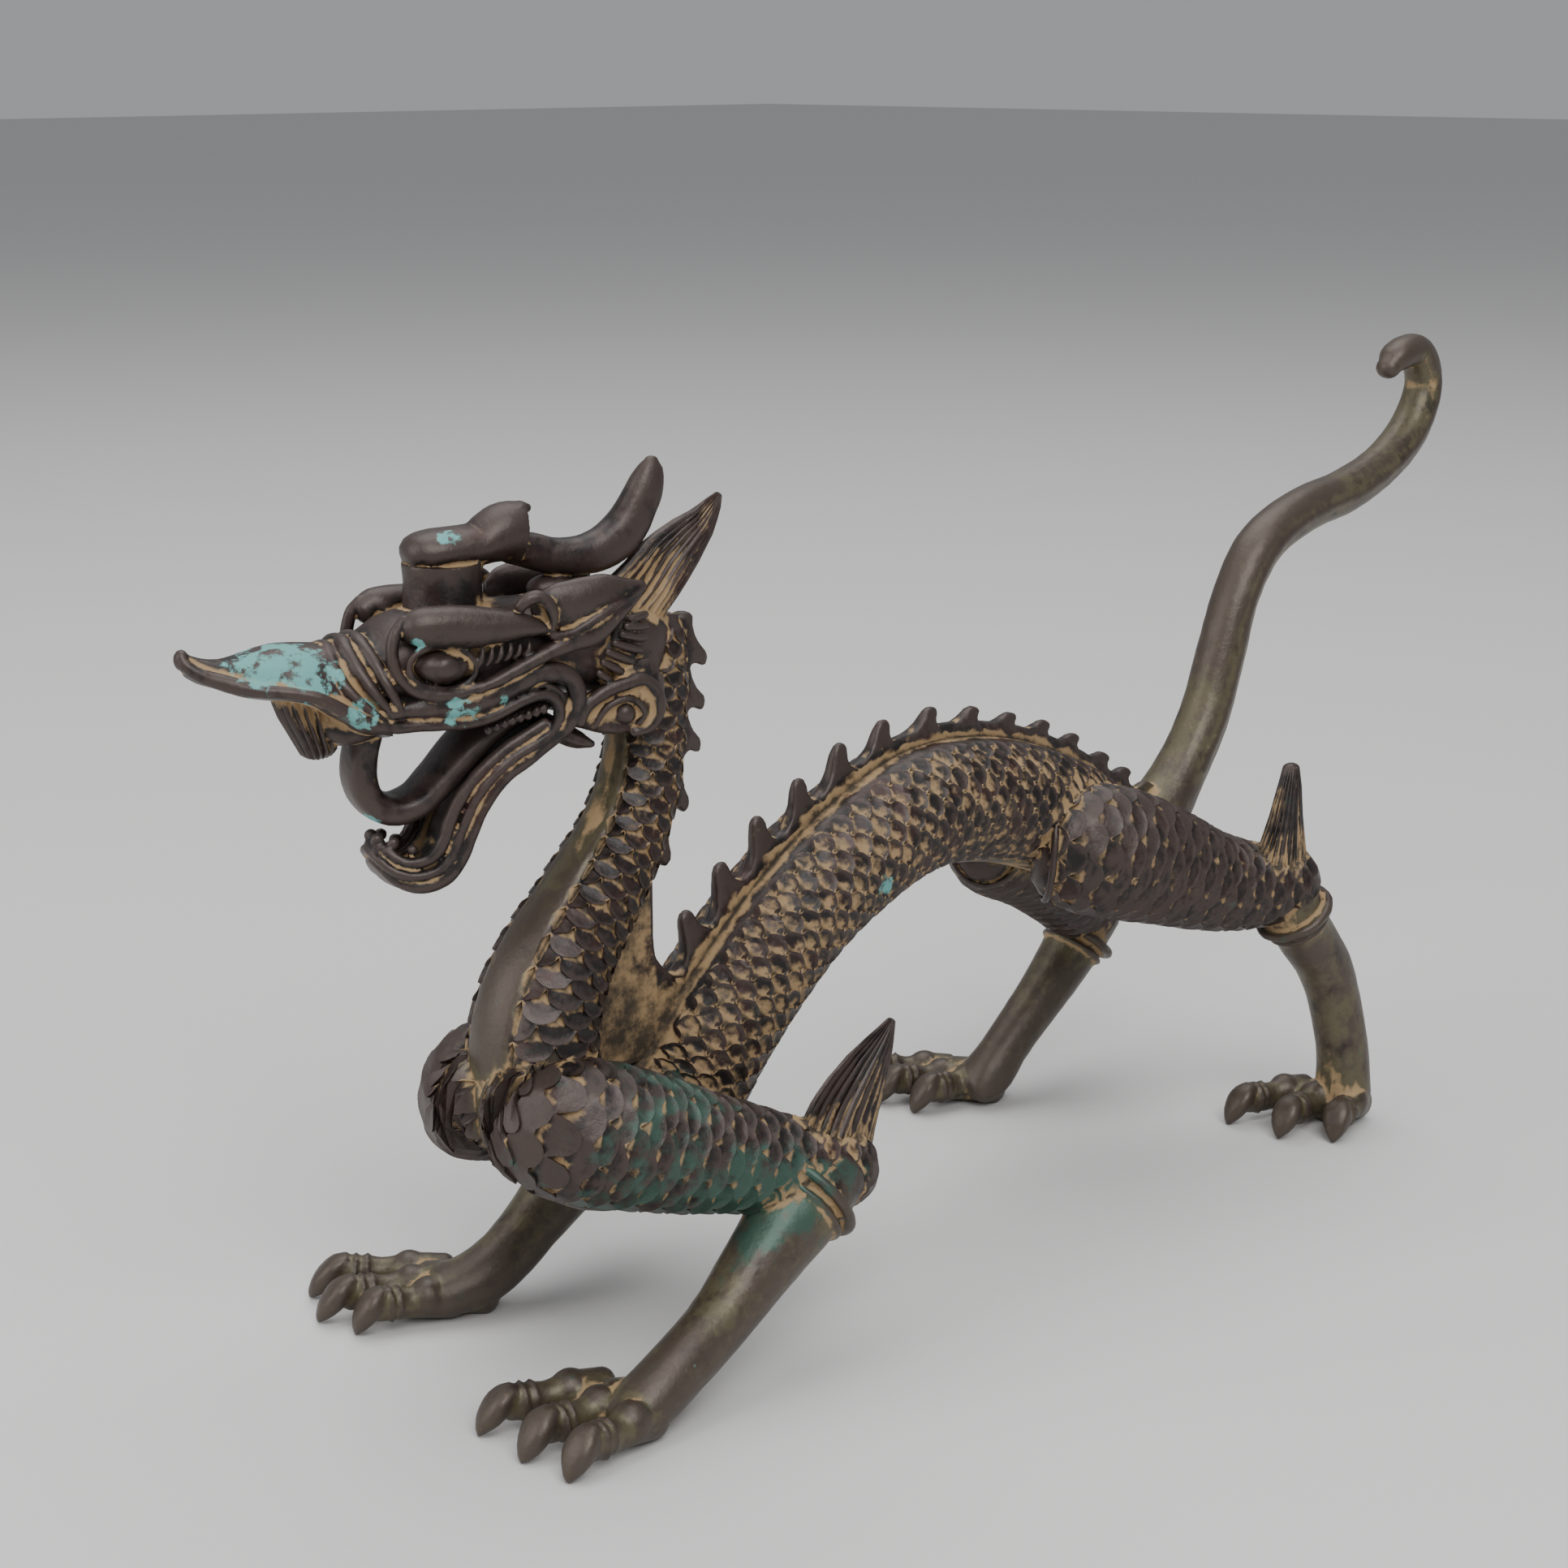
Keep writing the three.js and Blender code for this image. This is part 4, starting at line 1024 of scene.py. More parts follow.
@dataclass
class Head:
    """The head, modelled facing forward and then turned on the neck."""

    comb_ribs: int = 7
    gum_knobs: int = 8

    def clay(self) -> Clay:
        """Builds the head's soft forms.

        Returns:
            The closed shells in the layout.
        """
        local = Clay()
        for part in (self._skull(), self._snout(), self._folds(), self._jaw(), self._mouth(), self._horn()):
            local.take(part)
        for side in (1, -1):
            for part in (self._lips, self._eye, self._ear, self._comb, self._cheek):
                local.take(part(side))
        return local.moved(to_head)

    def grooved(self) -> list[Clay]:
        """Builds the finely grooved forms, which are kept crisp.

        Returns:
            The tuft at the back of the head and the fringe under the snout.
        """
        tuft = sweep([(4.0, 0, 10.6, 4.6, 4.6), (-0.4, 0, 13.9, 4.0, 4.4), (-2.5, 0, 15.8, 3.5, 4.3),
                      (-5.1, 0, 18.6, 2.8, 4.1), (-7.6, 0, 20.9, 2.2, 3.4), (-10.2, 0, 23.2, 1.5, 2.3),
                      (-12.2, 0, 25.6, 0.8, 1.2), (-12.9, 0, 26.6, 0.45, 0.6)],
                     sides=144, flutes=Flutes(24, 0.13, 1.0))
        fringe = sweep([(45.4, 0, 8.0, 5.0, 3.6), (44.8, 0, 5.4, 4.8, 3.6), (44.0, 0, 2.6, 4.3, 3.0),
                        (43.2, 0, 0.0, 3.6, 2.5)], sides=108, flutes=Flutes(18, 0.15, 1.0))
        return [tuft.moved(to_head), fringe.moved(to_head)]

    @staticmethod
    def _on(side: int, stations: Sequence[Station]) -> list[Station]:
        """Puts stations on one side of the head."""
        return list(stations) if side > 0 else mirrored(stations)

    def _skull(self) -> Clay:
        """Builds the skull's mass.

        Returns:
            The closed shells.
        """
        clay = sweep([(-4.4, 0, 7.6, 2.6, 3.0), (-1.5, 0, 8.0, 4.8, 5.6), (3.0, 0, 8.4, 6.4, 6.6),
                      (8.0, 0, 9.4, 7.2, 6.6),
                      (16.0, 0, 9.8, 7.3, 6.0), (25.0, 0, 9.8, 7.3, 6.3), (32.0, 0, 9.2, 7.1, 6.2),
                      (37.0, 0, 8.4, 6.6, 4.4), (41.5, 0, 8.2, 5.8, 3.2), (44.0, 0, 8.2, 5.0, 2.2)],
                     sides=36, power=2.6)
        clay.take(ellipsoid((11.0, 0, 16.6), (3.6, 2.6, 1.8)))
        return clay

    def _snout(self) -> Clay:
        """Builds the domed leaf of the snout and its rolled edge.

        Returns:
            The closed shell.
        """
        rows = np.array([
            (36.0, 12.4, 7.6, 3.4, 3.0), (39.5, 12.6, 7.7, 4.4, 2.8), (42.3, 12.6, 7.6, 5.8, 2.4),
            (46.1, 13.0, 7.2, 7.8, 2.0), (48.3, 13.1, 6.6, 8.3, 1.8), (50.8, 12.7, 5.6, 8.6, 1.7),
            (53.5, 12.1, 4.1, 9.1, 1.6), (55.9, 12.0, 2.7, 9.9, 1.5), (58.0, 12.6, 1.6, 10.7, 1.5),
            (59.6, 13.2, 0.9, 11.6, 1.3)])
        fine = spline(rows, np.linspace(0, 1, 60), True)
        verts = []
        across = np.linspace(-1, 1, 25)
        for u, ridge, half, edge, thick in fine:
            top = edge + (ridge - edge) * (1 - np.abs(across) ** 2.7)
            under = edge - 0.6 * thick - (0.4 * thick) * (1 - across ** 2)
            verts += [(u, half * a, b) for a, b in zip(across, top)]
            verts += [(u, half * 0.96 * a, b) for a, b in zip(across[::-1], under[::-1])]
        clay = outward_shell(np.array(verts), grid_faces(len(fine), 2 * len(across)))
        clay.take(ellipsoid((59.7, 0, 12.3), (1.0, 1.2, 1.35)))
        roll = [(59.6, 0.6, 11.9, 0.9, 0.9), (58.0, 1.6, 10.6, 0.9, 0.95), (55.9, 3.0, 9.8, 0.9, 0.95),
                (53.5, 4.5, 9.0, 0.9, 0.95), (50.8, 6.0, 8.6, 0.85, 0.9), (48.3, 7.0, 8.3, 0.8, 0.85),
                (46.1, 7.6, 7.8, 0.75, 0.8), (44.2, 7.8, 6.8, 0.75, 0.8), (42.3, 7.9, 5.6, 0.75, 0.8),
                (40.3, 8.0, 4.4, 0.75, 0.8), (38.2, 8.0, 3.3, 0.75, 0.8), (35.6, 8.0, 2.8, 0.75, 0.8)]
        for side in (1, -1):
            clay.take(sweep(self._on(side, roll), sides=14))
        return clay

    def _folds(self) -> Clay:
        """Builds the three folds that cross the snout in front of the eyes.

        Returns:
            The closed shells.
        """
        halves = (
            [(37.2, 8.0, 3.8, 0.5, 0.5), (39.2, 7.7, 5.4, 0.6, 0.6), (41.4, 6.6, 7.9, 0.7, 0.7),
             (42.4, 4.2, 10.6, 0.8, 0.8), (41.9, 0.0, 12.2, 0.8, 0.8)],
            [(36.3, 8.1, 4.4, 0.5, 0.5), (38.0, 7.6, 6.8, 0.7, 0.7), (39.5, 5.9, 9.6, 0.9, 0.9),
             (40.1, 3.2, 11.8, 1.0, 1.0), (39.8, 0.0, 12.6, 1.0, 1.0)],
            [(35.3, 8.3, 5.1, 0.5, 0.5), (36.6, 7.9, 7.8, 0.7, 0.7), (37.4, 6.4, 10.0, 0.9, 0.9),
             (38.0, 3.7, 12.0, 1.0, 1.0), (37.9, 0.0, 12.8, 1.0, 1.0)])
        clay = Clay()
        for half in halves:
            whole = half + mirrored(half)[-2::-1]
            clay.take(sweep(whole, sides=14, step=0.5, lateral=steady([1.0, 0.0, 0.0])))
        return clay

    def _jaw(self) -> Clay:
        """Builds the floor of the lower jaw and its front gum.

        Returns:
            The closed shells.
        """
        return sweep([(12.6, 0, -0.2, 6.2, 1.0), (15.5, 0, -1.9, 6.4, 1.1), (20.6, 0, -5.0, 5.8, 1.1),
                      (22.7, 0, -7.3, 5.5, 1.1), (24.4, 0, -9.9, 5.2, 1.1), (25.9, 0, -12.8, 5.0, 1.1),
                      (27.2, 0, -15.6, 4.9, 1.1), (29.2, 0, -18.0, 4.8, 1.1), (32.0, 0, -18.8, 4.3, 1.1),
                      (34.6, 0, -17.9, 3.5, 1.1), (35.9, 0, -15.8, 2.7, 1.0), (36.2, 0, -13.6, 2.1, 0.9)],
                     sides=36, power=3.2)

    def _mouth(self) -> Clay:
        """Builds tongue, palate and front teeth.

        Returns:
            The closed shells.
        """
        clay = sweep([(13.0, 0, 3.4, 5.0, 1.5), (20.0, 0, 0.6, 5.0, 1.7), (24.4, 0, -2.9, 4.6, 1.8),
                      (27.7, 0, -6.2, 4.2, 1.8), (30.6, 0, -8.7, 3.8, 1.8), (33.9, 0, -9.5, 3.4, 1.9),
                      (36.8, 0, -8.0, 3.2, 1.9), (38.0, 0, -5.4, 3.1, 1.9), (38.0, 0, -2.8, 3.0, 1.9),
                      (37.3, 0, 0.2, 3.0, 1.9), (36.0, 0, 3.0, 2.6, 1.8)], sides=28, power=3.0)
        clay.take(sweep([(45.0, 0, 5.2, 3.4, 2.4), (41.5, 0, 2.4, 4.6, 2.4), (38.0, 0, 2.4, 5.4, 2.0),
                         (34.0, 0, 3.6, 6.4, 1.6), (28.0, 0, 4.2, 6.8, 1.6)], sides=26, power=2.6))
        for side in (1, -1):
            for forward, aside, up in ((36.3, 1.1, -12.9), (34.6, 2.3, -13.3), (32.4, 2.9, -14.4)):
                clay.take(ellipsoid((forward, side * aside, up), (0.85, 0.7, 0.8)))
        return clay

    def _lips(self, side: int) -> Clay:
        """Builds the nested rolls that loop round the corner of the mouth.

        Args:
            side: 1 for the left, -1 for the right.

        Returns:
            The closed shells.
        """
        outer = [(36.4, 7.9, 4.6, 0.7, 0.7), (34.5, 8.0, 4.9, 0.9, 1.0), (32.5, 8.2, 4.9, 1.0, 1.2),
                 (29.3, 8.4, 4.7, 1.0, 1.2), (26.2, 8.5, 4.8, 1.0, 1.2), (24.0, 8.5, 5.3, 1.0, 1.25),
                 (21.8, 8.5, 6.2, 1.0, 1.3), (19.6, 8.5, 7.0, 1.0, 1.3), (17.0, 8.4, 7.7, 1.0, 1.3),
                 (14.8, 8.3, 7.6, 1.0, 1.3), (12.7, 8.1, 6.7, 1.0, 1.25), (11.7, 7.9, 5.0, 1.0, 1.2),
                 (11.5, 7.7, 3.1, 1.0, 1.2), (12.2, 7.4, 1.3, 1.0, 1.15), (13.6, 7.0, -0.4, 1.0, 1.1),
                 (15.5, 6.6, -1.8, 1.0, 1.1), (17.9, 6.3, -3.5, 1.0, 1.1), (20.6, 6.1, -5.1, 1.0, 1.1),
                 (22.7, 5.8, -7.3, 1.0, 1.1), (24.4, 5.5, -9.9, 1.0, 1.1), (25.7, 5.3, -12.7, 1.0, 1.1),
                 (26.8, 5.2, -15.2, 1.0, 1.1), (28.4, 5.0, -17.4, 1.0, 1.1), (30.2, 4.8, -18.5, 1.0, 1.0),
                 (32.6, 4.4, -18.7, 0.9, 0.9), (34.8, 3.4, -17.9, 0.8, 0.8), (36.2, 1.8, -16.4, 0.7, 0.7),
                 (36.5, 0.0, -15.8, 0.7, 0.7)]
        middle = [(35.6, 8.0, 2.8, 0.7, 0.75), (32.5, 8.2, 2.8, 0.7, 0.75), (30.4, 8.3, 2.7, 0.7, 0.75),
                  (26.7, 8.3, 2.5, 0.7, 0.75), (23.1, 8.3, 3.0, 0.7, 0.75), (20.1, 8.2, 4.1, 0.7, 0.72),
                  (17.2, 8.0, 4.8, 0.7, 0.7), (15.2, 7.8, 4.4, 0.7, 0.7), (14.1, 7.6, 3.0, 0.7, 0.7),
                  (14.0, 7.4, 1.3, 0.7, 0.7), (14.9, 7.2, -0.3, 0.7, 0.7), (16.9, 7.0, -1.6, 0.65, 0.65),
                  (19.6, 6.8, -2.9, 0.65, 0.65), (22.0, 6.6, -4.6, 0.65, 0.65), (24.2, 6.3, -6.8, 0.65, 0.65),
                  (25.9, 6.0, -9.7, 0.65, 0.65), (27.1, 5.8, -12.4, 0.65, 0.65),
                  (28.2, 5.6, -15.0, 0.65, 0.65), (29.9, 5.3, -16.7, 0.65, 0.65),
                  (32.7, 4.8, -17.3, 0.65, 0.65), (35.3, 3.8, -16.5, 0.65, 0.65),
                  (36.8, 2.0, -14.9, 0.65, 0.65), (37.0, 0.0, -14.3, 0.65, 0.65)]
        inner = [(15.4, 6.6, 0.8, 0.7, 0.75), (17.6, 6.5, -0.3, 0.75, 0.8), (20.3, 6.3, -1.7, 0.8, 0.85),
                 (22.5, 6.1, -3.2, 0.8, 0.85), (24.8, 5.9, -5.2, 0.8, 0.85), (26.9, 5.6, -7.8, 0.8, 0.85),
                 (28.1, 5.4, -10.2, 0.8, 0.85), (28.9, 5.2, -12.6, 0.8, 0.85), (30.0, 4.9, -14.6, 0.75, 0.8),
                 (31.8, 4.4, -15.6, 0.75, 0.8), (33.8, 3.6, -15.6, 0.75, 0.8), (35.6, 2.2, -14.2, 0.75, 0.8),
                 (36.1, 0.0, -13.4, 0.75, 0.8)]
        clay = Clay()
        for stations in (outer, middle, inner):
            clay.take(sweep(self._on(side, stations), sides=16, step=0.6))
        seam = [(p[0] + 0.5 * (q[0] - p[0]), p[1] + 0.25, p[2] + 0.5 * (q[2] - p[2]), 0.32, 0.32)
                for p, q in zip(middle[1:16], outer[2:17])]
        clay.take(sweep(self._on(side, seam), sides=8, step=0.6))
        for i in range(self.gum_knobs):
            f = i / (self.gum_knobs - 1)
            place = (23.4 - 7.6 * f, side * 7.0, 0.9 + 1.9 * f)
            clay.take(ellipsoid(place, (0.5, 0.6, 0.75), rows=8, around=10))
        return clay

    def _eye(self, side: int) -> Clay:
        """Builds the eyeball, its lids, the brow and the wrinkles behind.

        Args:
            side: 1 for the left, -1 for the right.

        Returns:
            The closed shells.
        """
        clay = ellipsoid((29.5, side * 7.5, 9.8), (3.6, 2.1, 2.1), rows=18, around=28)
        clay.take(ellipsoid((29.6, side * 9.1, 9.9), (1.6, 0.9, 1.4), rows=14, around=20))
        turn = np.linspace(0, 2 * np.pi, 41)
        ring = [(29.9 + 4.35 * math.cos(a), 8.6, 9.8 + 2.75 * math.sin(a) + 0.45 * math.cos(a), 0.45, 0.45)
                for a in turn]
        clay.take(sweep(self._on(side, ring), sides=10, step=0.5))
        socket = [(34.1, 7.3, 16.0, 0.6, 0.7), (35.4, 7.4, 14.4, 0.7, 0.8), (36.0, 7.6, 12.1, 0.8, 0.8),
                  (35.7, 7.9, 9.9, 0.8, 0.8), (34.4, 8.3, 8.0, 0.8, 0.8), (32.5, 8.6, 6.9, 0.8, 0.8),
                  (30.0, 8.8, 6.4, 0.8, 0.8), (27.1, 8.9, 6.5, 0.7, 0.7), (24.7, 9.0, 7.3, 0.5, 0.5)]
        brow = [(34.0, 6.8, 14.4, 1.2, 1.5), (32.7, 7.5, 14.8, 2.2, 2.3), (30.0, 7.9, 14.8, 2.5, 2.6),
                (26.4, 8.1, 14.5, 2.6, 2.7), (22.4, 8.3, 14.2, 2.3, 2.2), (19.5, 8.5, 14.0, 1.9, 1.65),
                (16.8, 8.6, 13.5, 1.3, 1.0), (15.4, 8.6, 12.9, 0.6, 0.45)]
        curl = [(19.6, 8.8, 16.3, 0.7, 0.7), (18.7, 9.1, 17.2, 0.9, 0.9), (17.2, 9.3, 17.5, 0.9, 0.9),
                (16.0, 9.5, 16.6, 0.9, 0.9), (15.4, 9.6, 15.0, 0.8, 0.8), (15.5, 9.4, 13.4, 0.5, 0.5)]
        for stations, sides in ((socket, 12), (brow, 26), (curl, 14)):
            clay.take(sweep(self._on(side, stations), sides=sides, step=0.6))
        for i in range(6):
            u = 24.9 - 1.25 * i
            ridge = [(u + 0.5, 8.6, 9.2 + 0.22 * i, 0.3, 0.3), (u, 9.0, 10.5 + 0.06 * i, 0.4, 0.36),
                     (u - 0.3, 8.7, 11.8, 0.3, 0.3)]
            clay.take(sweep(self._on(side, ridge), sides=8, step=0.4))
        return clay

    def _ear(self, side: int) -> Clay:
        """Builds the two-lobed ear and the ridge between its lobes.

        Args:
            side: 1 for the left, -1 for the right.

        Returns:
            The closed shells.
        """
        upper = [(16.6, 7.4, 14.9, 1.0, 2.2), (14.4, 7.8, 15.5, 1.5, 3.1), (11.3, 8.0, 16.1, 1.7, 3.0),
                 (7.5, 7.8, 16.9, 1.5, 2.4), (4.5, 7.5, 17.2, 1.1, 1.3), (1.8, 7.2, 17.3, 0.5, 0.5)]
        ridge = [(1.9, 7.5, 17.1, 0.45, 0.5), (5.5, 8.6, 15.7, 0.6, 0.6), (9.5, 9.3, 14.0, 0.65, 0.65),
                 (13.2, 9.4, 12.5, 0.65, 0.65), (15.6, 9.4, 12.5, 0.5, 0.5)]
        lower = [(2.6, 7.4, 16.4, 0.5, 0.7), (6.1, 8.3, 14.4, 1.0, 1.3), (9.5, 8.8, 12.3, 1.2, 1.6),
                 (13.3, 9.0, 11.2, 1.2, 1.3), (16.6, 9.0, 10.2, 1.1, 1.0), (19.9, 9.0, 8.8, 1.0, 0.9),
                 (22.9, 9.0, 7.6, 0.9, 0.8), (25.8, 8.9, 6.6, 0.7, 0.6)]
        clay = Clay()
        for stations, sides in ((upper, 24), (ridge, 10), (lower, 18)):
            clay.take(sweep(self._on(side, stations), sides=sides, step=0.6))
        return clay

    def _comb(self, side: int) -> Clay:
        """Builds the fan of ribs under the ear.

        Args:
            side: 1 for the left, -1 for the right.

        Returns:
            The closed shells.
        """
        share = np.linspace(0, 1, self.comb_ribs)
        root_line = np.array([(4.4, 8.4, 13.5), (5.6, 8.5, 11.5), (7.7, 8.5, 9.5), (8.8, 8.3, 6.9)])
        tip_line = np.array([(1.6, 7.4, 13.5), (1.7, 7.4, 10.4), (3.3, 7.5, 7.4), (6.6, 7.7, 5.2)])
        roots, tips = spline(root_line, share, True), spline(tip_line, share, True)
        bed = [(4.0, 7.0, 12.6, 1.0, 2.0), (4.6, 7.0, 9.8, 1.0, 2.4), (6.8, 7.0, 7.6, 1.0, 2.0)]
        clay = sweep(self._on(side, bed))
        for root, tip in zip(roots, tips):
            middle = 0.5 * (root + tip) + np.array([0, 0.25, 0])
            clay.take(sweep(self._on(side, [(*root, 0.4, 0.4), (*middle, 0.5, 0.5), (*tip, 0.42, 0.45)]),
                            sides=10, step=0.4))
        return clay

    def _cheek(self, side: int) -> Clay:
        """Builds the cheek plate, its wound curl and the small beard behind the jaw.

        Args:
            side: 1 for the left, -1 for the right.

        Returns:
            The closed shells.
        """
        plate = [(12.0, 6.6, 1.4, 1.0, 1.4), (8.6, 7.0, 1.6, 1.2, 2.8), (5.2, 7.2, 2.0, 1.3, 3.8),
                 (2.2, 7.2, 3.2, 1.3, 4.8), (0.4, 7.0, 3.0, 1.1, 3.6), (-0.7, 6.8, 3.0, 0.6, 2.4)]
        rim = [(11.2, 7.9, 0.4, 0.5, 0.5), (10.4, 8.2, 2.6, 0.7, 0.8), (8.2, 8.4, 4.2, 0.8, 0.9),
               (5.2, 8.4, 5.0, 0.8, 0.9), (2.6, 8.3, 5.2, 0.8, 1.0), (0.7, 8.2, 3.4, 0.8, 1.0),
               (0.3, 8.2, 1.0, 0.8, 0.9), (1.6, 8.2, -0.9, 0.7, 0.8), (3.8, 8.2, -1.5, 0.6, 0.6)]
        curl = [(9.4, 8.0, -0.2, 0.4, 0.4), (8.6, 8.5, 1.4, 0.45, 0.45), (7.6, 8.8, 2.5, 0.45, 0.45),
                (6.4, 9.0, 3.1, 0.45, 0.45), (4.9, 9.0, 3.2, 0.45, 0.45), (3.4, 9.0, 2.4, 0.45, 0.45),
                (2.7, 8.9, 1.0, 0.45, 0.45), (3.4, 8.8, -0.2, 0.4, 0.4)]
        beard = [(13.0, 4.8, -1.0, 1.4, 1.3), (10.6, 4.8, -2.2, 1.5, 1.3), (8.2, 4.8, -3.2, 0.6, 0.5)]
        clay = sweep(self._on(side, plate), sides=26, power=2.8)
        for stations, sides in ((rim, 14), (curl, 10)):
            clay.take(sweep(self._on(side, stations), sides=sides, step=0.5))
        clay.take(ellipsoid((5.2, side * 8.6, 1.2), (1.25, 0.95, 1.25)))
        clay.take(sweep(self._on(side, beard), sides=48, step=0.6, flutes=Flutes(8, 0.16, 1.0)))
        return clay

    def _horn(self) -> Clay:
        """Builds the column, its cup and the swept horn.

        Returns:
            The closed shells.
        """
        clay = sweep([(26.05, 0, 13.0, 5.3, 5.3), (26.05, 0, 16.0, 5.1, 5.1), (26.05, 0, 18.5, 4.95, 4.95),
                      (26.05, 0, 21.2, 5.1, 5.1)], sides=40, rounded=False)
        clay.take(sweep([(30.6, 0, 21.4, 1.8, 0.6), (29.6, 0, 22.4, 3.4, 2.2), (27.4, 0, 22.8, 4.2, 2.6),
                         (24.0, 0, 22.9, 4.2, 2.7), (21.4, 0, 23.1, 4.0, 2.7), (19.4, 0, 23.8, 3.9, 3.3),
                         (17.6, 0, 24.3, 3.8, 3.7), (15.6, 0, 24.0, 3.6, 3.9)],
                        sides=32, step=0.5, rounded=False))
        clay.take(sweep([(17.2, 0, 26.6, 1.6, 1.2), (15.2, 0, 27.2, 0.9, 0.8), (14.2, 0, 27.0, 0.5, 0.5)],
                        sides=12))
        clay.take(sweep([(17.0, 0, 22.4, 2.0, 2.1), (14.0, 0, 21.6, 2.1, 2.3), (11.4, 0, 20.8, 2.2, 2.35),
                         (8.6, 0, 20.4, 2.3, 2.4), (5.1, 0, 20.7, 2.5, 2.65), (1.3, 0, 22.7, 2.5, 2.85),
                         (-1.2, 0, 26.2, 2.2, 2.6), (-2.5, 0, 29.0, 1.9, 2.35), (-3.1, 0, 31.0, 1.3, 1.6),
                         (-3.2, 0, 31.9, 0.7, 0.8)], sides=26, power=2.4))
        return clay


# ---- casting: fuse, thin out, read the relief ------------------------------------------------


@dataclass
class Casting:
    """Fuses clay and skins into one surface and thins it out."""

    soften: int = 2

    def melt(self, clay: Clay, name: str, voxel: float) -> bpy.types.Object:
        """Fuses clay into one smooth surface.

        Args:
            clay: The shells.
            name: Name of the result.
            voxel: Size of the cells it is fused with, in millimetres.

        Returns:
            The fused object.
        """
        obj = clay.to_object(name)
        remesh = obj.modifiers.new("Fuse", "REMESH")
        remesh.mode = "VOXEL"
        remesh.voxel_size = voxel
        smooth = obj.modifiers.new("Soften", "SMOOTH")
        smooth.factor = 0.5
        smooth.iterations = self.soften
        bake(obj)
        LOG.info("%s: %d faces", name, len(obj.data.polygons))
        return obj

    def unite(self, base: bpy.types.Object, others: Sequence[bpy.types.Object]) -> None:
        """Joins others to base by a boolean union.

        Args:
            base: Keeps the result.
            others: Objects used up.
        """
        for other in others:
            union = base.modifiers.new("Union", "BOOLEAN")
            union.operation = "UNION"
            union.solver = "MANIFOLD"
            union.object = other
            bake(base)
            bpy.data.objects.remove(other)
            LOG.info("united: %d faces", len(base.data.polygons))

    def thin(self, obj: bpy.types.Object, triangles: int) -> None:
        """Thins the mesh to a number of triangles.

        Args:
            obj: The object.
            triangles: The number wanted.
        """
        tri = obj.modifiers.new("Triangles", "TRIANGULATE")
        tri.quad_method = "SHORTEST_DIAGONAL"
        bake(obj)
        count = len(obj.data.polygons)
        if count > triangles:
            thin = obj.modifiers.new("Thin", "DECIMATE")
            thin.ratio = triangles / count
            bake(obj)
        LOG.info("thinned from %d to %d triangles", count, len(obj.data.polygons))


class Relief:
    """Measures the hollows of the finished mesh and stores vertex attributes on it."""

    def __init__(self, mesh: bpy.types.Mesh) -> None:
        """Reads the mesh.

        Args:
            mesh: The finished mesh, in millimetres.
        """
        self.mesh = mesh
        self.n = len(mesh.vertices)
        self.co = np.empty(self.n * 3)
        mesh.vertices.foreach_get("co", self.co)
        self.co = self.co.reshape(-1, 3)
        self.edges = np.empty(len(mesh.edges) * 2, dtype=np.int64)
        mesh.edges.foreach_get("vertices", self.edges)
        self.edges = self.edges.reshape(-1, 2)
        self.degree = np.maximum(np.bincount(self.edges.reshape(-1), minlength=self.n), 1)[:, None]
        self.normal = self._normals()

    def _normals(self) -> Array:
        """Works out vertex normals.

        Returns:
            One normal a row.
        """
        tri = np.empty(len(self.mesh.polygons) * 3, dtype=np.int64)
        self.mesh.polygons.foreach_get("vertices", tri)
        tri = tri.reshape(-1, 3)
        face = np.cross(self.co[tri[:, 1]] - self.co[tri[:, 0]], self.co[tri[:, 2]] - self.co[tri[:, 0]])
        normal = np.zeros((self.n, 3))
        for k in range(3):
            for axis in range(3):
                normal[:, axis] += np.bincount(tri[:, k], weights=face[:, axis], minlength=self.n)
        return normal / np.maximum(np.linalg.norm(normal, axis=1, keepdims=True), 1e-12)

    def spread(self, values: Array, rounds: int) -> Array:
        """Blurs values over the mesh.

        Args:
            values: One row a vertex.
            rounds: How many times to average with neighbours.

        Returns:
            The blurred values.
        """
        out = values.reshape(self.n, -1).astype(float)
        a, b = self.edges[:, 0], self.edges[:, 1]
        for _ in range(rounds):
            total = np.empty_like(out)
            for k in range(out.shape[1]):
                total[:, k] = (np.bincount(a, weights=out[b, k], minlength=self.n)
                               + np.bincount(b, weights=out[a, k], minlength=self.n))
            out = 0.35 * out + 0.65 * total / self.degree
        return out.reshape(values.shape)

    def hollow(self, rounds: int) -> Array:
        """Measures how far each vertex lies below its blurred surroundings."""
        return np.sum((self.spread(self.co, rounds) - self.co) * self.normal, axis=1)

    def store(self, name: str, values: Array) -> None:
        """Stores a vertex attribute.

        Args:
            name: Its name.
            values: One value a vertex.
        """
        layer = self.mesh.attributes.new(name, "FLOAT", "POINT")
        layer.data.foreach_set("value", values.astype(float))


class Zone(Enum):
    """Parts of the dragon that aged differently."""

    NECK = 0
    BODY = 1
    ARM = 2
    SHIN = 3
    FOOT = 4
    TAIL = 5
    HEAD = 6
    FIN = 7


def nearest_tree(points: Sequence[Array]) -> kdtree.KDTree:
    """Makes a search tree that finds the nearest of the points.

    Args:
        points: The points, one a row.

    Returns:
        The balanced tree.
    """
    tree = kdtree.KDTree(len(points))
    for i, point in enumerate(points):
        tree.insert(Vector(point), i)
    tree.balance()
    return tree


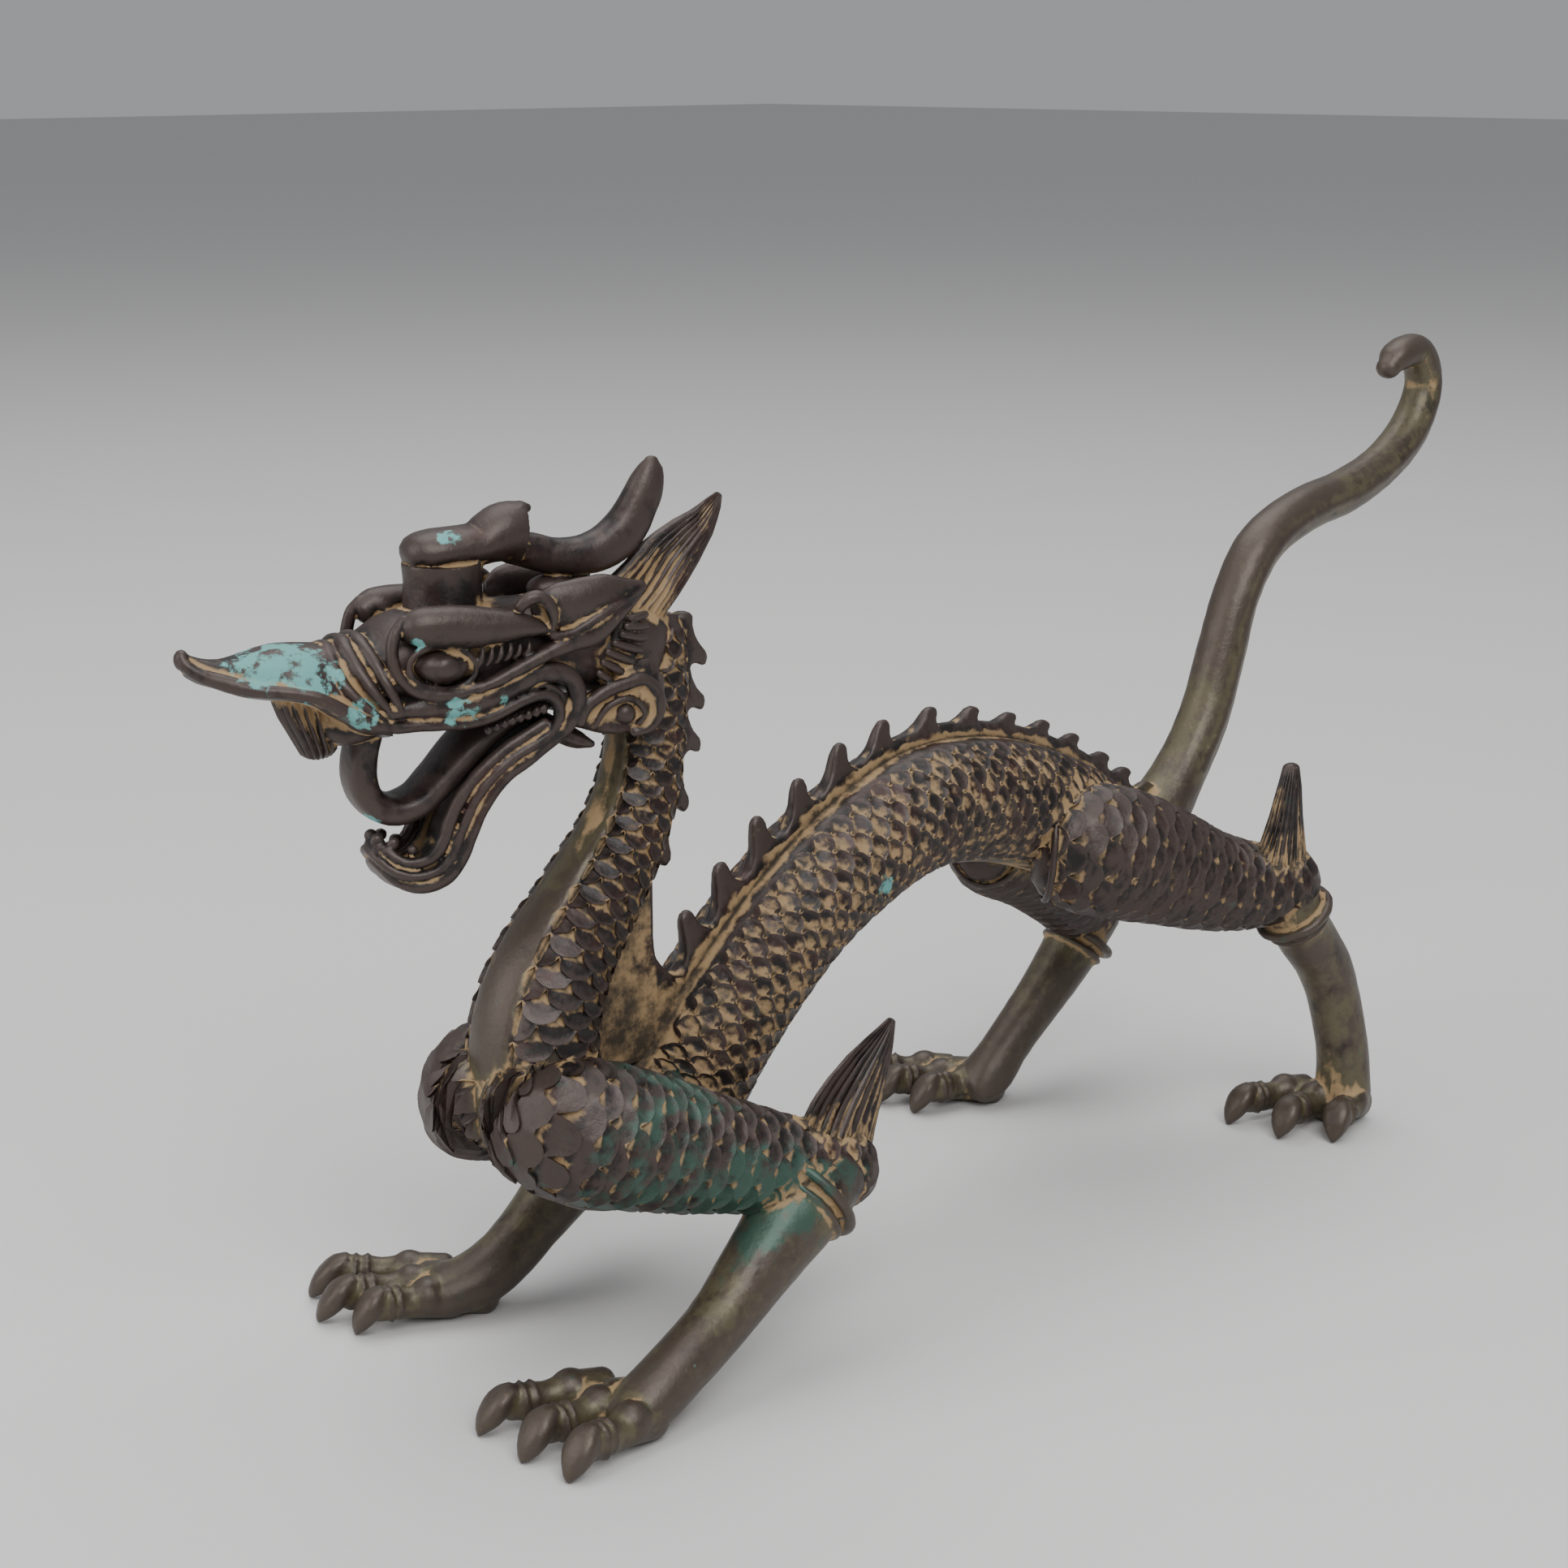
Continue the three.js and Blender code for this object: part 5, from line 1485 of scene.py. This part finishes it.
class ZoneMap:
    """Knows which zone a point belongs to, by the nearest centre line."""

    def __init__(self) -> None:
        """Samples every centre line."""
        points: list[Array] = []
        zones: list[int] = []

        def put(route: Route, zone: Zone, start: float = 0.0, stop: float = math.inf) -> None:
            """Adds points along a route.

            Args:
                route: The centre line.
                zone: The zone it stands for.
                start: First distance along it.
                stop: Last distance along it.
            """
            distance = np.arange(start, min(stop, route.length), 1.2)
            at = route.frames(distance)[0]
            points.extend(at)
            zones.extend([zone.value] * len(at))

        trunk = trunk_route()
        put(trunk, Zone.NECK, 8.0, 84.0)
        put(trunk, Zone.BODY, 84.0)
        put(Route(TAIL), Zone.TAIL, 14.0)
        for plan in LEG_PLANS:
            put(Route(plan.out(plan.upper)), Zone.ARM)
            put(Route(plan.out(plan.lower)), Zone.SHIN, 4.0)
            put(Route(plan.out(plan.fin)), Zone.FIN, 8.0)
            for (rx, ry), (cx, cy) in plan.toes:
                for f in np.linspace(0.1, 1.0, 8):
                    points.append(np.array([rx + (cx - rx) * f, plan.side.value * (ry + (cy - ry) * f), 3.0]))
                    zones.append(Zone.FOOT.value)
        for u in np.linspace(-2, 58, 22):
            for v in (-6.0, 0.0, 6.0):
                points.append(to_head(np.array([[u, v if u < 50 else 0.0, 10.0]]))[0])
                zones.append(Zone.HEAD.value)
        for u, w in ((14, -1), (20, -5), (25, -11), (29, -16), (35, -15), (38, -6), (26, 19), (20, 23),
                     (8, 20), (-1, 25), (-3, 31), (-4, 17), (-10, 24)):
            points.append(to_head(np.array([[u, 0.0, w]]))[0])
            zones.append(Zone.HEAD.value)
        self.tree = nearest_tree(points)
        self.zones = np.array(zones)

    def of(self, co: Array) -> Array:
        """Looks up the zone of each point."""
        return self.zones[np.array([self.tree.find(p)[1] for p in co.tolist()])]


def lumps(co: Array, size: float, seed: int) -> Array:
    """Makes a smooth random field from a sum of sines.

    Args:
        co: Points, one a row.
        size: Typical size of a lump in millimetres.
        seed: Seed of the field.

    Returns:
        Values from about -1 to 1.
    """
    rng = np.random.default_rng(seed)
    total = np.zeros(len(co))
    for k in range(7):
        direction = rng.normal(size=3)
        direction *= 2 * np.pi / (size * rng.uniform(0.7, 1.6)) / np.linalg.norm(direction)
        total += np.sin(co @ direction + rng.uniform(0, 6.28))
    return total / 4.0


# ---- finish --------------------------------------------------------------------------------


@dataclass(frozen=True)
class BronzeFinish:
    """Colours and surface values of the aged bronze."""

    metal: tuple[float, float, float] = (0.011, 0.0085, 0.0078)
    worn: tuple[float, float, float] = (0.060, 0.042, 0.036)
    olive: tuple[float, float, float] = (0.115, 0.098, 0.056)
    ochre: tuple[float, float, float] = (0.34, 0.225, 0.11)
    green: tuple[float, float, float] = (0.032, 0.086, 0.064)
    turquoise: tuple[float, float, float] = (0.13, 0.37, 0.35)
    red: tuple[float, float, float] = (0.048, 0.017, 0.013)
    # Near-black painted shade for the deepest creases and the gaps under the scales' free edges.
    painted_crease_shade: tuple[float, float, float] = (0.010, 0.009, 0.008)
    metallic: tuple[float, float] = (0.35, 0.0)
    roughness: tuple[float, float] = (0.40, 0.72)

    def patches(self) -> bpy.types.NodeTree:
        """Builds the shared group that breaks a mask into patches.

        Returns:
            The node group.
        """
        tree = bpy.data.node_groups.new("Patchy mask", "ShaderNodeTree")
        face = tree.interface
        for name, value in (("Amount", 0.5), ("Patch size", 200.0), ("Softness", 0.15), ("Detail", 6.0)):
            socket = face.new_socket(name, in_out="INPUT", socket_type="NodeSocketFloat")
            socket.default_value = value
        face.new_socket("Mask", in_out="OUTPUT", socket_type="NodeSocketFloat")
        node, link = tree.nodes.new, tree.links.new
        given, result = node("NodeGroupInput"), node("NodeGroupOutput")
        where = node("ShaderNodeTexCoord")
        noise = node("ShaderNodeTexNoise")
        noise.inputs["Roughness"].default_value = 0.62
        invert = maths(tree, "SUBTRACT", 1.0)
        stretch = node("ShaderNodeMapRange")
        stretch.inputs["To Min"].default_value = 0.24
        stretch.inputs["To Max"].default_value = 0.78
        low, high = maths(tree, "SUBTRACT"), maths(tree, "ADD")
        mask = node("ShaderNodeMapRange")
        mask.interpolation_type = "SMOOTHSTEP"
        for source, out, target, into in (
                (where, "Object", noise, "Vector"), (given, "Patch size", noise, "Scale"),
                (given, "Detail", noise, "Detail"), (given, "Amount", invert, 1),
                (invert, 0, stretch, "Value"), (stretch, 0, low, 0), (given, "Softness", low, 1),
                (stretch, 0, high, 0), (given, "Softness", high, 1), (noise, "Fac", mask, "Value"),
                (low, 0, mask, "From Min"), (high, 0, mask, "From Max"), (mask, 0, result, 0)):
            link(source.outputs[out], target.inputs[into])
        return tree

    def material(self) -> bpy.types.Material:
        """Builds the patinated bronze.

        Returns:
            The material.
        """
        material = bpy.data.materials.new("Aged bronze")
        material.use_nodes = True
        tree = material.node_tree
        tree.nodes.clear()
        node, link = tree.nodes.new, tree.links.new
        output = node("ShaderNodeOutputMaterial")
        shader = node("ShaderNodeBsdfPrincipled")
        link(shader.outputs[0], output.inputs["Surface"])
        group = self.patches()

        def attribute(name: str) -> bpy.types.NodeSocket:
            """Reads a mask that is stored on the mesh.

            Args:
                name: The mask's name.

            Returns:
                Its value.
            """
            reader = node("ShaderNodeAttribute")
            reader.attribute_name = name
            return reader.outputs["Fac"]

        def patchy(amount: bpy.types.NodeSocket | float, size: float, softness: float,
                   detail: float = 6.0) -> bpy.types.NodeSocket:
            """Breaks an amount into patches.

            Args:
                amount: How much is covered, from 0 to 1.
                size: How many patches go to the metre, about.
                softness: Width of their edges.
                detail: Fineness of their outline.

            Returns:
                The mask.
            """
            made = node("ShaderNodeGroup")
            made.node_tree = group
            made.inputs["Patch size"].default_value = size
            made.inputs["Softness"].default_value = softness
            made.inputs["Detail"].default_value = detail
            if isinstance(amount, float):
                made.inputs["Amount"].default_value = amount
            else:
                link(amount, made.inputs["Amount"])
            return made.outputs[0]

        def mixed(mask: bpy.types.NodeSocket, under: bpy.types.NodeSocket | tuple, over: tuple,
                  share: float = 1.0) -> bpy.types.NodeSocket:
            """Lays one colour over another.

            Args:
                mask: Where the upper colour lies.
                under: The lower colour.
                over: The upper colour.
                share: How well the upper colour covers.

            Returns:
                The mixed colour.
            """
            mix = node("ShaderNodeMix")
            mix.data_type = "RGBA"
            scale = maths(tree, "MULTIPLY")
            scale.inputs[1].default_value = share
            link(mask, scale.inputs[0])
            link(scale.outputs[0], mix.inputs["Factor"])
            if isinstance(under, tuple):
                mix.inputs["A"].default_value = (*under, 1.0)
            else:
                link(under, mix.inputs["A"])
            mix.inputs["B"].default_value = (*over, 1.0)
            return mix.outputs["Result"]

        colour = mixed(patchy(0.42, 160.0, 0.10), self.metal, self.red, 0.6)
        colour = mixed(patchy(attribute("olive"), 240.0, 0.12), colour, self.olive, 0.85)
        colour = mixed(patchy(attribute("wear"), 600.0, 0.22, 4.0), colour, self.worn, 0.8)
        colour = mixed(patchy(attribute("green"), 260.0, 0.10), colour, self.green, 0.8)
        dirt_mask = patchy(attribute("dirt"), 420.0, 0.14)
        colour = mixed(dirt_mask, colour, self.ochre, 0.85)
        # Painted shade: the deepest hollows are darkened towards near-black.
        colour = mixed(patchy(attribute("painted_crease_shade"), 500.0, 0.2), colour, self.painted_crease_shade, 0.9)
        blue_mask = patchy(attribute("turquoise"), 430.0, 0.05, 10.0)
        colour = mixed(blue_mask, colour, self.turquoise, 0.85)
        link(colour, shader.inputs["Base Color"])

        crust = maths(tree, "MAXIMUM")
        link(dirt_mask, crust.inputs[0])
        link(blue_mask, crust.inputs[1])
        for label, (bare, crusted) in (("Metallic", self.metallic), ("Roughness", self.roughness)):
            blend = node("ShaderNodeMapRange")
            blend.inputs["To Min"].default_value = bare
            blend.inputs["To Max"].default_value = crusted
            link(crust.outputs[0], blend.inputs["Value"])
            link(blend.outputs[0], shader.inputs[label])

        where = node("ShaderNodeTexCoord")
        grain = node("ShaderNodeTexNoise")
        grain.inputs["Scale"].default_value = 900.0
        grain.inputs["Detail"].default_value = 8.0
        grain.inputs["Roughness"].default_value = 0.65
        link(where.outputs["Object"], grain.inputs["Vector"])
        bump = node("ShaderNodeBump")
        bump.inputs["Strength"].default_value = 0.45
        bump.inputs["Distance"].default_value = 0.00022
        link(grain.outputs["Fac"], bump.inputs["Height"])
        link(bump.outputs[0], shader.inputs["Normal"])
        return material


def spot(co: Array, centres: Sequence[Sequence[float]]) -> Array:
    """Makes soft spots.

    Args:
        co: Points, one a row.
        centres: Rows of x, y, z and radius.

    Returns:
        1 in the middle of a spot, fading to 0.
    """
    best = np.zeros(len(co))
    for x, y, z, radius in centres:
        d = np.linalg.norm(co - np.array([x, y, z]), axis=1) / radius
        best = np.maximum(best, np.clip(1.3 - d, 0, 1))
    return best


TURQUOISE_ON_HEAD = [
    (50, 3, 12, 5.5), (46, 5, 10.5, 4.5), (28, 8.5, 4, 2.6), (36.8, 1, -9.5, 2.2), (33.4, 8.6, 13.4, 1.5),
    (26, 3, 25, 2.0), (40, 8, 5, 2.4), (22, 8, 5.5, 1.6),
]
TURQUOISE_ON_BODY = [(-24.0, -9.0, 58.0, 2.4), (-60.0, 19.0, 16.0, 3.4)]


@dataclass
class Dragon:
    """The whole casting, from clay to finished object."""

    trunk: Trunk = field(default_factory=Trunk)
    tail: Tail = field(default_factory=Tail)
    crest: Crest = field(default_factory=Crest)
    head: Head = field(default_factory=Head)
    legs: list[Leg] = field(default_factory=lambda: [Leg(plan) for plan in LEG_PLANS])
    casting: Casting = field(default_factory=Casting)
    finish: BronzeFinish = field(default_factory=BronzeFinish)

    def build(self) -> bpy.types.Object:
        """Builds the object.

        Returns:
            The finished dragon, in metres.
        """
        material = self.finish.material()
        clay = Clay()
        clay.take(self.trunk.web())
        clay.take(self.tail.clay())
        clay.take(self.crest.wall())
        places, turns, sizes = self.crest.stands()
        clay.take(Planter().plant("Crest teeth", self.crest.tooth(), places, turns, sizes, material,
                                  TOOTH_SIZE_WOBBLE, TOOTH_SEED))
        LOG.info("crest set with %d teeth", len(places))
        for leg in self.legs:
            clay.take(leg.clay())
            LOG.info("%s modelled", leg.plan.name)
        body = self.casting.melt(clay, "dragon casting", COARSE_CELL)
        head = self.casting.melt(self.head.clay(), "head", FINE_CELL)
        crisp = self.head.grooved() + self.trunk.skins()
        for leg in self.legs:
            crisp += [leg.skin(), leg.fin()]
        self.casting.unite(body, [head] + [shell.to_object("shell") for shell in crisp])
        self.casting.thin(body, TRIANGLE_BUDGET)
        relief = Relief(body.data)
        self._roughen(relief)
        self._age(relief)
        self._settle(relief)
        body.data.materials.clear()
        body.data.materials.append(material)
        body.data.polygons.foreach_set("material_index", np.zeros(len(body.data.polygons), np.int32))
        body.data.polygons.foreach_set("use_smooth", np.ones(len(body.data.polygons), bool))
        body.data.set_sharp_from_angle(angle=math.radians(CREASE_ANGLE))
        return body

    @staticmethod
    def _roughen(relief: Relief) -> None:
        """Makes the cast surface slightly uneven.

        Args:
            relief: The mesh reader, whose places change.
        """
        uneven = np.zeros(relief.n)
        for height, size, seed in UNEVENNESS:
            uneven += height * lumps(relief.co, size, seed)
        relief.co = relief.co + relief.normal * uneven[:, None]

    def _age(self, relief: Relief) -> None:
        """Stores where dirt, wear, painted shade in the deepest hollows and each patina lie.

        Args:
            relief: The mesh reader.
        """
        fine, broad = relief.hollow(5), relief.hollow(26)
        zones = ZoneMap().of(relief.co)
        plain = [zone.value for zone in (Zone.SHIN, Zone.FOOT, Zone.TAIL)]
        smooth_zone = relief.spread(np.isin(zones, plain).astype(float), 6)
        head = relief.spread((zones == Zone.HEAD.value).astype(float), 4)
        height = relief.co[:, 2]
        dirt = np.clip(0.10 + fine * 5.0 + broad * 0.6 + 0.08 * head, 0, 1)
        wear = np.clip(-fine * 5.0 - broad * 0.5, 0, 1)
        relief.store("dirt", dirt)
        relief.store("wear", np.clip(0.10 + wear, 0, 1))
        # Painted shade mask: the deepest hollows, weaker on the head.
        relief.store("painted_crease_shade", np.clip((fine - 0.16) * 5.0, 0, 0.8) * (1 - 0.7 * head))
        relief.store("olive", np.clip(smooth_zone * 0.75 + self._belly(relief), 0, 1))
        chest = np.clip(1.2 - np.linalg.norm((relief.co - [-74, -12, 34]) / [16, 12, 14], axis=1), 0, 1)
        arm = np.clip(1.2 - np.linalg.norm((relief.co - [-62, -22, 26]) / [20, 9, 9], axis=1), 0, 1)
        relief.store("green", np.clip(0.75 * np.maximum(chest, arm) + 0.12 * (height < 60), 0, 1))
        in_layout = to_head(np.array([place for *place, _ in TURQUOISE_ON_HEAD], float))
        spots = [(*place, row[3]) for place, row in zip(in_layout, TURQUOISE_ON_HEAD)] + TURQUOISE_ON_BODY
        relief.store("turquoise", np.clip(spot(relief.co, spots), 0, 0.62))

    @staticmethod
    def _settle(relief: Relief) -> None:
        """Keeps the casting inside its own box, stands it on the ground and scales it to metres.

        Args:
            relief: The mesh reader.
        """
        low, high = (np.array(c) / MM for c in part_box("dragon"))
        final = np.clip(relief.co + ORIGIN_SHIFT, low + BOX_CLEARANCE, high - BOX_CLEARANCE)
        final[:, 2] = np.maximum(relief.co[:, 2], low[2])
        final[:, 2] = np.minimum(final[:, 2], high[2] - BOX_CLEARANCE)
        relief.mesh.vertices.foreach_set("co", (final * MM).reshape(-1))
        relief.mesh.update()

    @staticmethod
    def _belly(relief: Relief) -> Array:
        """Finds the smooth strip along the belly and chest.

        Args:
            relief: The mesh reader.

        Returns:
            1 on the strip, 0 elsewhere.
        """
        route = trunk_route()
        distance = np.arange(4.0, route.length, 1.0)
        at, side, up, size = route.frames(distance)
        tree = nearest_tree(at)
        found = [tree.find(p) for p in relief.co.tolist()]
        index = np.array([f[1] for f in found])
        far = np.array([f[2] for f in found])
        offset = relief.co - at[index]
        down = -np.sum(offset * up[index], axis=1)
        aside = np.abs(np.sum(offset * side[index], axis=1))
        angle = np.degrees(np.arctan2(aside, down))
        on_skin = far < size[index].max(axis=1) + 1.6
        return ((angle < 29) & on_skin).astype(float) * 0.85


# ---- studio --------------------------------------------------------------------------------


@dataclass(frozen=True)
class Studio:
    """Floor, lights and camera."""

    camera_at: tuple[float, float, float] = (-301.9, -262.6, 172.0)
    look: tuple[float, float] = (0.713, 0.701)
    pitch: float = 14.8
    lens: float = 64.1

    def build(self) -> None:
        """Sets up floor, lights, world and camera."""
        self._floor()
        self._lights()
        self._camera()

    def _floor(self) -> None:
        """Lays the plain pale floor."""
        mesh = bpy.data.meshes.new("floor")
        mesh.from_pydata([(-6, -6, 0), (6, -6, 0), (6, 6, 0), (-6, 6, 0)], [], [(0, 1, 2, 3)])
        floor = bpy.data.objects.new("floor", mesh)
        bpy.context.collection.objects.link(floor)
        material = bpy.data.materials.new("Pale floor")
        material.use_nodes = True
        shader = material.node_tree.nodes["Principled BSDF"]
        shader.inputs["Base Color"].default_value = (0.62, 0.61, 0.60, 1)
        shader.inputs["Roughness"].default_value = 0.6
        mesh.materials.append(material)

    def _lights(self) -> None:
        """Hangs three large soft lights and a dim sky."""
        for name, place, energy, size in (
                ("key", (-0.45, -0.75, 0.95), 13.0, 0.8),
                ("top", (0.15, 0.25, 1.1), 9.0, 1.0),
                ("fill", (-0.9, 0.35, 0.5), 5.0, 0.8)):
            data = bpy.data.lights.new(name, "AREA")
            data.energy = energy
            data.size = size
            lamp = bpy.data.objects.new(name, data)
            lamp.location = place
            aim = Vector((0, 0, 0.05)) - Vector(place)
            lamp.rotation_euler = aim.to_track_quat("-Z", "Y").to_euler()
            bpy.context.collection.objects.link(lamp)
        world = bpy.data.worlds.new("Studio")
        world.use_nodes = True
        world.node_tree.nodes["Background"].inputs["Color"].default_value = (0.75, 0.77, 0.8, 1)
        world.node_tree.nodes["Background"].inputs["Strength"].default_value = 0.45
        bpy.context.scene.world = world

    def _camera(self) -> None:
        """Places the camera."""
        data = bpy.data.cameras.new("camera")
        data.lens = self.lens
        data.sensor_width = 36.0
        data.clip_start = 0.01
        camera = bpy.data.objects.new("camera", data)
        camera.location = (np.array(self.camera_at) + ORIGIN_SHIFT) * MM
        pitch = math.radians(self.pitch)
        aim = Vector((self.look[0] * math.cos(pitch), self.look[1] * math.cos(pitch), -math.sin(pitch)))
        camera.rotation_euler = aim.to_track_quat("-Z", "Y").to_euler()
        bpy.context.collection.objects.link(camera)
        bpy.context.scene.camera = camera


def main() -> None:
    """Builds the dragon and its studio."""
    logging.basicConfig(level=logging.INFO, format="%(name)s: %(message)s")
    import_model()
    dragon = Dragon().build()
    dragon.name = "Dragon"
    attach(dragon, "root")
    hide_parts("dragon")
    LOG.info("dragon finished: %d triangles", len(dragon.data.polygons))
    Studio().build()
    LOG.info("studio ready")


if __name__ == "__main__":
    main()
